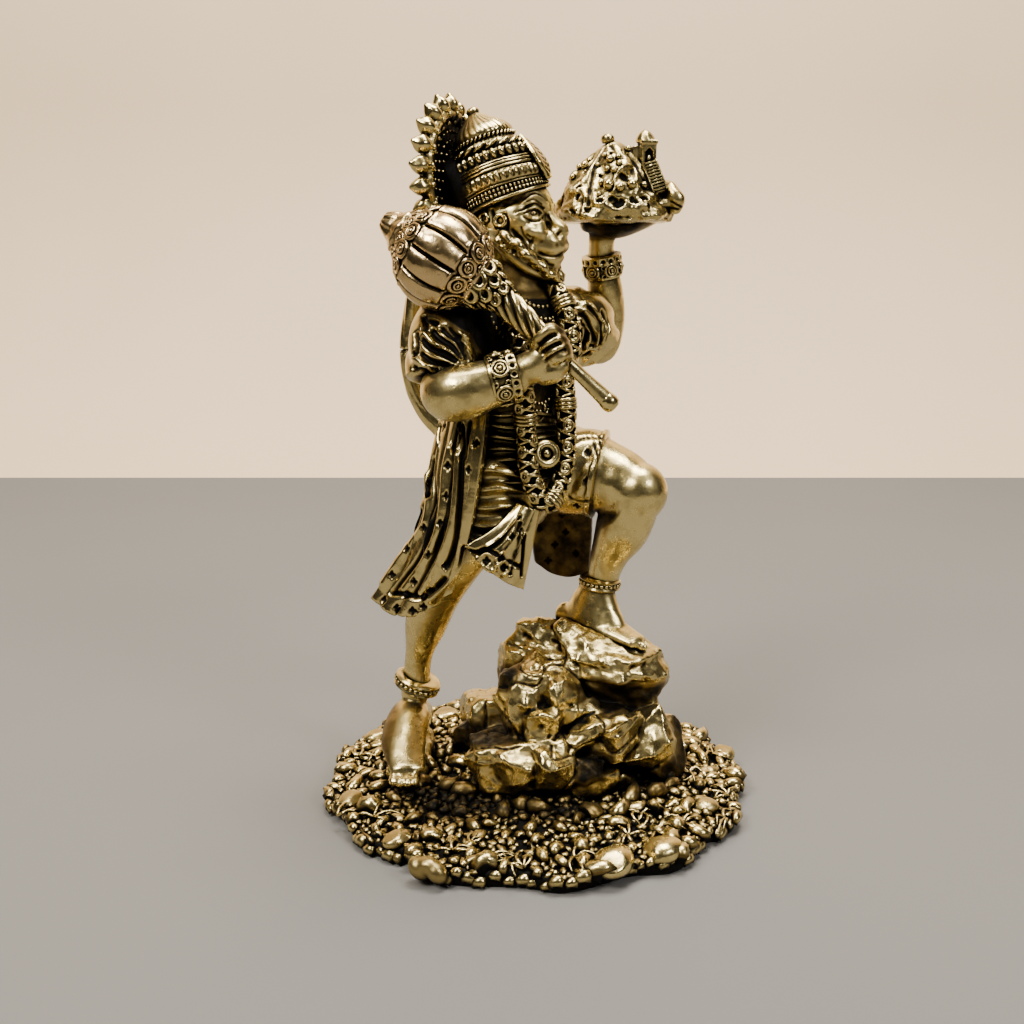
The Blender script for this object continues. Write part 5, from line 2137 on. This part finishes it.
class HERO_OT_ground(bpy.types.Operator):
    """Round plate with its pebbles, large stones, tangled stems and leaves"""

    bl_idname = "hero.ground"
    bl_label = "Ground"

    # Where the ground stays dark before the rocks, as the eye sees it.
    dark_places = (
        ((-32.2, 2.4), (-20.0, 1.8), (-7.9, -2.0), (6.3, -3.6), (14.5, -2.5), (16.6, -6.4), (4.4, -9.2),
         (-6.9, -7.5), (-17.1, -9.2), (-25.3, -8.0), (-32.3, -2.5)),
        ((6.2, 7.3), (18.4, 4.0), (35.5, 6.2), (36.7, 1.8), (26.6, -1.4), (15.5, -1.4), (6.3, -1.4)),
    )

    cleft_place = (-21.4, -43.6)

    def height(self, x, y):
        """Height of the ground, in millimetres."""
        radius = mm("base_diameter") / 2
        share = np.clip(np.hypot(x, y) / radius, 0, 1)
        return mm("plate_thickness") + mm("ground_rise") * np.cos(0.5 * math.pi * share)

    def edge(self, angle):
        """Radius of the plate at an angle, in millimetres."""
        sizes = bpy.context.scene.hero_sizes
        return mm("base_diameter") / 2 + mm("scallop_depth") * np.cos(sizes.scallop_count * angle)

    def plate(self):
        """The plate itself: a low wall that bulges, and the dark ground between the pebbles."""
        sides = 210
        angle = np.linspace(0, 2 * math.pi, sides, endpoint=False)
        edge = self.edge(angle)
        thick = mm("plate_thickness")
        uneven = np.array([noise.noise(Vector((math.cos(a) * 6, math.sin(a) * 6, 1.0))) for a in angle])
        rings = []
        for share, z in ((0.02, 0.0), (0.95, 0.0), (0.962, 0.5), (0.968, 0.55 * thick), (0.962, thick),
                         (0.945, thick + 0.6)):
            reach = edge * share + (0.9 * uneven if share > 0.5 else 0)
            rings.append(np.stack([reach * np.cos(angle), reach * np.sin(angle), np.full(sides, z)], 1))
        for share in np.linspace(0.93, 0.02, 72):
            x, y = edge * share * np.cos(angle), edge * share * np.sin(angle)
            lumps = np.array([noise.noise(Vector((a * 0.3, b * 0.3, 3.0))) for a, b in zip(x, y)])
            fine = np.array([noise.noise(Vector((a * 1.3, b * 1.3, 7.0))) for a, b in zip(x, y)])
            rings.append(np.stack([x, y, self.height(x, y) + 0.5 * lumps + 0.3 * fine], 1))
        piece = named(rolled(np.array(rings)), "ground")
        high = corners(piece)[:, 2]
        base = self.height(*corners(piece)[:, :2].T)
        set_film(piece, np.clip(0.95 - 1.9 * (high - base), 0.1, 1.0))
        return piece

    def scatter(self, count, low, high, seed, taken):
        """Spots for pebbles that keep apart: rows of x, y and size in millimetres. They may overlap a
        little, `spread`, and stop short of the rim, `reach`. It gives up after six tries for each."""
        spread, reach = 0.72, 0.965
        dice = random.Random(seed)
        found = []
        for _ in range(count * 6):
            share = math.sqrt(dice.random()) * reach
            angle = dice.uniform(0, 2 * math.pi)
            radius = share * float(self.edge(angle))
            size = low + (high - low) * dice.random() ** 2
            x, y = radius * math.cos(angle), radius * math.sin(angle)
            if any((x - a) ** 2 + (y - b) ** 2 < (spread * (size + c)) ** 2 for a, b, c in taken):
                continue
            taken.append((x, y, size))
            found.append((x, y, size))
            if len(found) == count:
                break
        return found

    def stones(self):
        """The large worn stones: each x, y, half its length and its width in millimetres, and its turn."""
        rows = (
            (14.3, -41.8, 4.6, 3.6, 60), (24.2, -37.2, 4.4, 3.4, 20), (35.3, -19.4, 3.2, 2.6, 0),
            (-40.1, -15.6, 3.4, 2.4, 70), (-28.3, -32.6, 3.2, 2.3, 40), (44.6, 9.2, 3.0, 2.6, 80),
            (-22, 30, 4.0, 3.0, 10), (8, 41, 4.2, 3.2, 50), (34, 27, 3.6, 2.8, 100),
            (-38, 18, 3.4, 2.6, 30), (-6, 33, 2.8, 2.2, 0), (21, 36, 2.6, 2.0, 70), (39, -2, 2.4, 1.9, 15),
            (-12, -33, 2.2, 1.7, 60),
        )
        share = mm("stone_radius") / 4.7
        flats, crispness = 9, 13
        pieces = []
        for k, (x, y, long, wide, turn) in enumerate(rows):
            a = math.radians(turn)
            centre = np.array((x, y, float(self.height(x, y)) + 0.25 * wide * share))
            deselect()
            bpy.ops.mesh.primitive_ico_sphere_add(subdivisions=4, radius=1)
            piece = bpy.context.object
            dice = random.Random(300 + k)
            cuts = np.array([[dice.gauss(0, 1) for _ in range(3)] for _ in range(flats)])
            cuts /= np.linalg.norm(cuts, axis=1, keepdims=True)
            reach = np.array([dice.uniform(0.86, 1.0) for _ in cuts])
            way = corners(piece) * MM
            way /= np.linalg.norm(way, axis=1, keepdims=True)
            reaches = np.exp(-crispness * reach[None] / np.maximum(way @ cuts.T, 0.05))
            radius = 0.06 - np.log(reaches.sum(1)) / crispness
            set_corners(piece, way * np.clip(radius, 0.5, 1.15)[:, None] / MM)
            pieces.append(put(piece, centre, direction(math.cos(a), math.sin(a), 0.08), UP,
                              (long * share, wide * share, 0.72 * wide * share)))
        return pieces, [(x, y, 0.8 * wide) for x, y, _, wide, _ in rows]

    def cleft_stone(self):
        """The stone at the front rim with a deep cleft down its middle."""
        centre = np.array((*self.cleft_place, 4.2))
        side = direction(0.9, -0.42, 0)
        piece = melted([
            ball(centre - side * 1.7 - UP * 0.8, (2.7, 2.2, 2.0), direction(0.75, -0.1, -0.65)),
            ball(centre + side * 1.9 - UP * 0.8, (2.5, 2.0, 1.9), direction(0.7, -0.3, -0.72)),
            ball(centre + UP * 0.2, (2.4, 2.0, 1.8), side)], "cleft_stone", 0.3, smooth=2)
        down = [centre + direction(-0.25, -1, 0.25) * 2.8 + UP * z for z in (1.2, 0.4, -0.6, -1.8, -2.8)]
        press(piece, [smooth_line(down)(np.linspace(0, 1, 40))], 0.55, 1.3)
        return piece

    def stem(self, start, angle, length, curl, lift, dice):
        """Points of one curling stem that creeps over the pebbles."""
        steps = 6
        points = []
        x, y = start
        for k in range(steps + 1):
            share = k / steps
            arch = 0.75 + lift * math.sin(math.pi * share)
            z = float(self.height(x, y)) + arch + dice.uniform(-0.1, 0.25)
            points.append((x, y, z))
            angle += curl + dice.uniform(-0.35, 0.35)
            x += length / steps * math.cos(angle)
            y += length / steps * math.sin(angle)
        return points

    def plants(self):
        """Tufts of creeping stems, and two veined leaves near the front rim."""
        dice = random.Random(21)
        wires = []
        tufts = [(-42.0, -22.0, 5), (-29.7, -40.5, 5), (34.6, -4.5, 6), (21.2, -24.8, 6), (41.4, -13.6, 6),
                 (-17.0, -38.0, 6), (30.0, -27.0, 6), (24.0, -31.0, 5), (7.0, -41.0, 5), (-3.0, -44.0, 6),
                 (-34.0, -24.0, 4), (39.0, -24.0, 5), (-41.0, 6.0, 6), (-25.0, 36.0, 6), (12.0, 30.0, 5),
                 (30.0, 32.0, 6), (-10.0, 41.0, 5), (42.0, 8.0, 4), (-36.0, 28.0, 5), (18.0, -33.0, 5)]
        for x, y, count in tufts:
            away = dice.uniform(0, 2 * math.pi)
            for k in range(count):
                angle = away + 2 * math.pi * k / count + dice.uniform(-0.4, 0.4)
                length = dice.uniform(3.5, 6.5)
                line = self.stem((x, y), angle, length, dice.uniform(-0.45, 0.45), 0.9, dice)
                edge = 0.985 * self.edge(0.0)
                if max(math.hypot(a, b) for a, b, _ in line) > edge:
                    continue
                wires.append(wire(line, [0.34, 0.3, 0.14], sides=6))
        for x, y, turn, length in ((-9.6, -42.2, 25, 5.6), (-13.5, -36.0, 60, 4.6), (33.0, 20.0, 140, 5.0),
                                   (-30.0, 12.0, 80, 5.0)):
            a = math.radians(turn)
            along = np.array((math.cos(a), math.sin(a), 0))
            side = np.array((-math.sin(a), math.cos(a), 0))
            foot = np.array((x, y, float(self.height(x, y)) + 1.1))
            for edge in (-1, 1):
                rim = [foot + along * length * t + side * edge * 0.3 * length * math.sin(math.pi * t ** 0.8)
                       + UP * 0.5 * math.sin(math.pi * t) for t in np.linspace(0, 1, 7)]
                wires.append(wire(rim, [0.3, 0.3, 0.2], sides=6))
            wires.append(wire([foot, foot + along * 0.5 * length + UP * 0.7, foot + along * length],
                              [0.3, 0.24, 0.2], sides=6))
            for t in (0.3, 0.5, 0.7):
                for edge in (-1, 1):
                    wide = edge * 0.24 * length * math.sin(math.pi * t)
                    rib = [foot + along * length * t + UP * 0.6,
                           foot + along * length * (t + 0.14) + side * wide + UP * 0.4]
                    wires.append(wire(rib, 0.17, sides=5))
        return wires

    def execute(self, context):
        hand_over(self.plate(), "ground")
        pieces, taken = self.stones()
        hand_over(joined(pieces + [self.cleft_stone()], "ground_stones"), "ground", keep=0.6)
        hand_over(joined(self.plants(), "ground_plants"), "ground")
        taken.append((*self.cleft_place, 3.4))
        count = int(0.85 * bpy.context.scene.hero_sizes.pebble_count)
        rim_count = 118
        grain = mm("pebble_size")
        dice = random.Random(8)
        sets = {"cobbles": [], "pebbles": [], "gravel": []}
        for name, share, low, high in (("cobbles", 0.17, 1.5, 2.9), ("pebbles", 0.5, 0.95, 1.6),
                                       ("gravel", 0.33, 0.6, 0.95)):
            for x, y, size in self.scatter(int(share * count), low * grain, high * grain, len(name), taken):
                centre = np.array((x, y, float(self.height(x, y)) + dice.uniform(0.15, 0.5) * size))
                forward = direction(dice.uniform(-1, 1), dice.uniform(-1, 1), dice.uniform(-0.3, 0.3))
                half = [size * dice.uniform(*span) for span in ((1.0, 1.5), (0.8, 1.05), (0.7, 1.3))]
                sets[name].append(placing(centre, forward, UP, half))
        for k in range(rim_count):
            angle = 2 * math.pi * (k + dice.uniform(-0.3, 0.3)) / rim_count
            size = grain * dice.uniform(1.1, 2.0)
            radius = float(self.edge(angle)) * dice.uniform(0.955, 0.975)
            low = mm("plate_thickness") * dice.uniform(0.35, 1.15)
            centre = np.array((radius * math.cos(angle), radius * math.sin(angle), max(low, size)))
            out = direction(math.cos(angle), math.sin(angle), 0.5)
            sets["cobbles"].append(placing(centre, np.cross(out, UP), out, (1.1 * size, size, 0.8 * size)))
        for k, (name, rows) in enumerate(sets.items()):
            stones = repeated(nugget_shape(k, 0.9), rows, name, film_below=0.12)
            hand_over(shade(stones, self.dark_places, film=0.5, soft=2.5), "ground")
        return {"FINISHED"}


class HERO_OT_stage(bpy.types.Operator):
    """Plain floor and backdrop, soft lights and the camera"""

    bl_idname = "hero.stage"
    bl_label = "Stage"

    def matte(self, name, colour):
        """Smooth painted board: no gloss, and a faint unevenness."""
        material = bpy.data.materials.new(name)
        material.use_nodes = True
        tree = material.node_tree
        tree.nodes.clear()
        place = add_node(tree, "ShaderNodeTexCoord").outputs["Object"]
        shade = ranged(tree, clouds(tree, place, 9.0, 2.0), 0.2, 0.8, 0.97, 1.03)
        tone = add_node(tree, "ShaderNodeMix", {6: shade}, data_type="RGBA", blend_type="MULTIPLY",
                        inputs={0: 1.0, 7: tuple(colour)}).outputs[2]
        shader = add_node(tree, "ShaderNodeBsdfPrincipled", {"Base Color": tone},
                          inputs={"Roughness": 0.85})
        add_node(tree, "ShaderNodeOutputMaterial", {"Surface": shader.outputs[0]})
        return material

    def light(self, name, place, aim, size, power, colour):
        """A square soft light at a place that looks at a point, in metres."""
        deselect()
        bpy.ops.object.light_add(type="AREA", location=place)
        lamp = bpy.context.object
        lamp.name = name
        lamp.data.shape = "RECTANGLE"
        lamp.data.size, lamp.data.size_y = size
        lamp.data.energy = power
        lamp.data.color = colour
        lamp.rotation_euler = (Vector(aim) - Vector(place)).to_track_quat("-Z", "Y").to_euler()
        return lamp

    def execute(self, context):
        look = context.scene.hero_stage
        front, back, bend, top, wide = -0.6, 0.32, 0.22, 1.4, 1.6
        profile = [(front, 0.0), (back, 0.0)]
        for degrees in range(6, 91, 6):
            a = math.radians(degrees)
            profile.append((back + bend * math.sin(a), bend - bend * math.cos(a)))
        profile.append((0.54, top))
        deselect()
        bpy.ops.mesh.primitive_grid_add(x_subdivisions=2, y_subdivisions=len(profile) - 1, size=1)
        floor = bpy.context.object
        rows = [(x, y, z) for y, z in profile for x in (-wide, 0.0, wide)]
        set_corners(floor, np.array(rows) / MM)
        floor.name = "floor"
        bpy.ops.object.shade_smooth()
        paper = self.matte("matt painted board", look.backdrop_colour)
        boards = self.matte("matt painted floor", look.floor_colour)
        floor.data.materials.append(boards)
        floor.data.materials.append(paper)
        for polygon in floor.data.polygons:
            polygon.material_index = 1 if polygon.center.y > back + 0.04 else 0

        self.light("key", (-0.46, -0.5, 0.78), (0, 0, 0.08), (0.3, 0.3), look.key_power, (1, 0.98, 0.94))
        self.light("fill", (0.55, -0.55, 0.6), (0, 0, 0.07), (0.2, 0.2), look.fill_power, (0.98, 0.98, 1))
        self.light("top", (0.12, 0.1, 0.95), (0, 0, 0.08), (0.36, 0.3), look.key_power, (1, 0.98, 0.95))
        self.light("wash", (0.0, -0.1, 0.95), (0, 0.54, 0.35), (0.9, 0.2), look.key_power, (1, 0.96, 0.9))

        deselect()
        bpy.ops.object.camera_add(location=EYE * MM)
        camera = bpy.context.object
        camera.name = "eye"
        camera.rotation_euler = (math.radians(90 - EYE_DOWN_DEGREES), 0, 0)
        camera.data.lens = EYE_LENS
        camera.data.sensor_width = SENSOR
        camera.data.clip_start = 0.01
        bpy.context.scene.camera = camera

        world = bpy.data.worlds.new("room")
        bpy.context.scene.world = world
        world.use_nodes = True
        world.node_tree.nodes.clear()
        air = add_node(world.node_tree, "ShaderNodeBackground",
                       inputs={"Color": linear("D8D2CA"), "Strength": look.surround})
        add_node(world.node_tree, "ShaderNodeOutputWorld", {"Surface": air.outputs[0]})
        return {"FINISHED"}


class HERO_PT_panel(bpy.types.Panel):
    """The figure's pieces, sizes and finish in the sidebar"""

    bl_idname = "HERO_PT_panel"
    bl_label = "Cast brass hero"
    bl_space_type = "VIEW_3D"
    bl_region_type = "UI"
    bl_category = "Brass hero"

    def draw(self, context):
        for group in (context.scene.hero_sizes, context.scene.hero_finish, context.scene.hero_stage):
            box = self.layout.box()
            for name in group.bl_rna.properties.keys():
                if name not in ("rna_type", "name"):
                    box.prop(group, name)
        for operator in OPERATORS:
            self.layout.operator(operator.bl_idname)


GROUPS = {"hero_sizes": HeroSizes, "hero_finish": HeroFinish, "hero_stage": HeroStage}
OPERATORS = (
    HERO_OT_body, HERO_OT_head, HERO_OT_crown, HERO_OT_mace, HERO_OT_mountain, HERO_OT_cloths,
    HERO_OT_garland, HERO_OT_jewellery, HERO_OT_tail, HERO_OT_rocks, HERO_OT_ground, HERO_OT_stage,
)


def register():
    """Adds the settings, the operators and the panel."""
    for name, group in GROUPS.items():
        bpy.utils.register_class(group)
        setattr(bpy.types.Scene, name, bpy.props.PointerProperty(type=group))
    for operator in OPERATORS:
        bpy.utils.register_class(operator)
    bpy.utils.register_class(HERO_PT_panel)


def unregister():
    """Takes them out again."""
    bpy.utils.unregister_class(HERO_PT_panel)
    for operator in reversed(OPERATORS):
        bpy.utils.unregister_class(operator)
    for name, group in GROUPS.items():
        delattr(bpy.types.Scene, name)
        bpy.utils.unregister_class(group)


def main():
    """Builds the figure and the stage."""
    register()
    for operator in OPERATORS:
        category, name = operator.bl_idname.split(".")
        getattr(getattr(bpy.ops, category), name)()


if __name__ == "__main__":
    main()
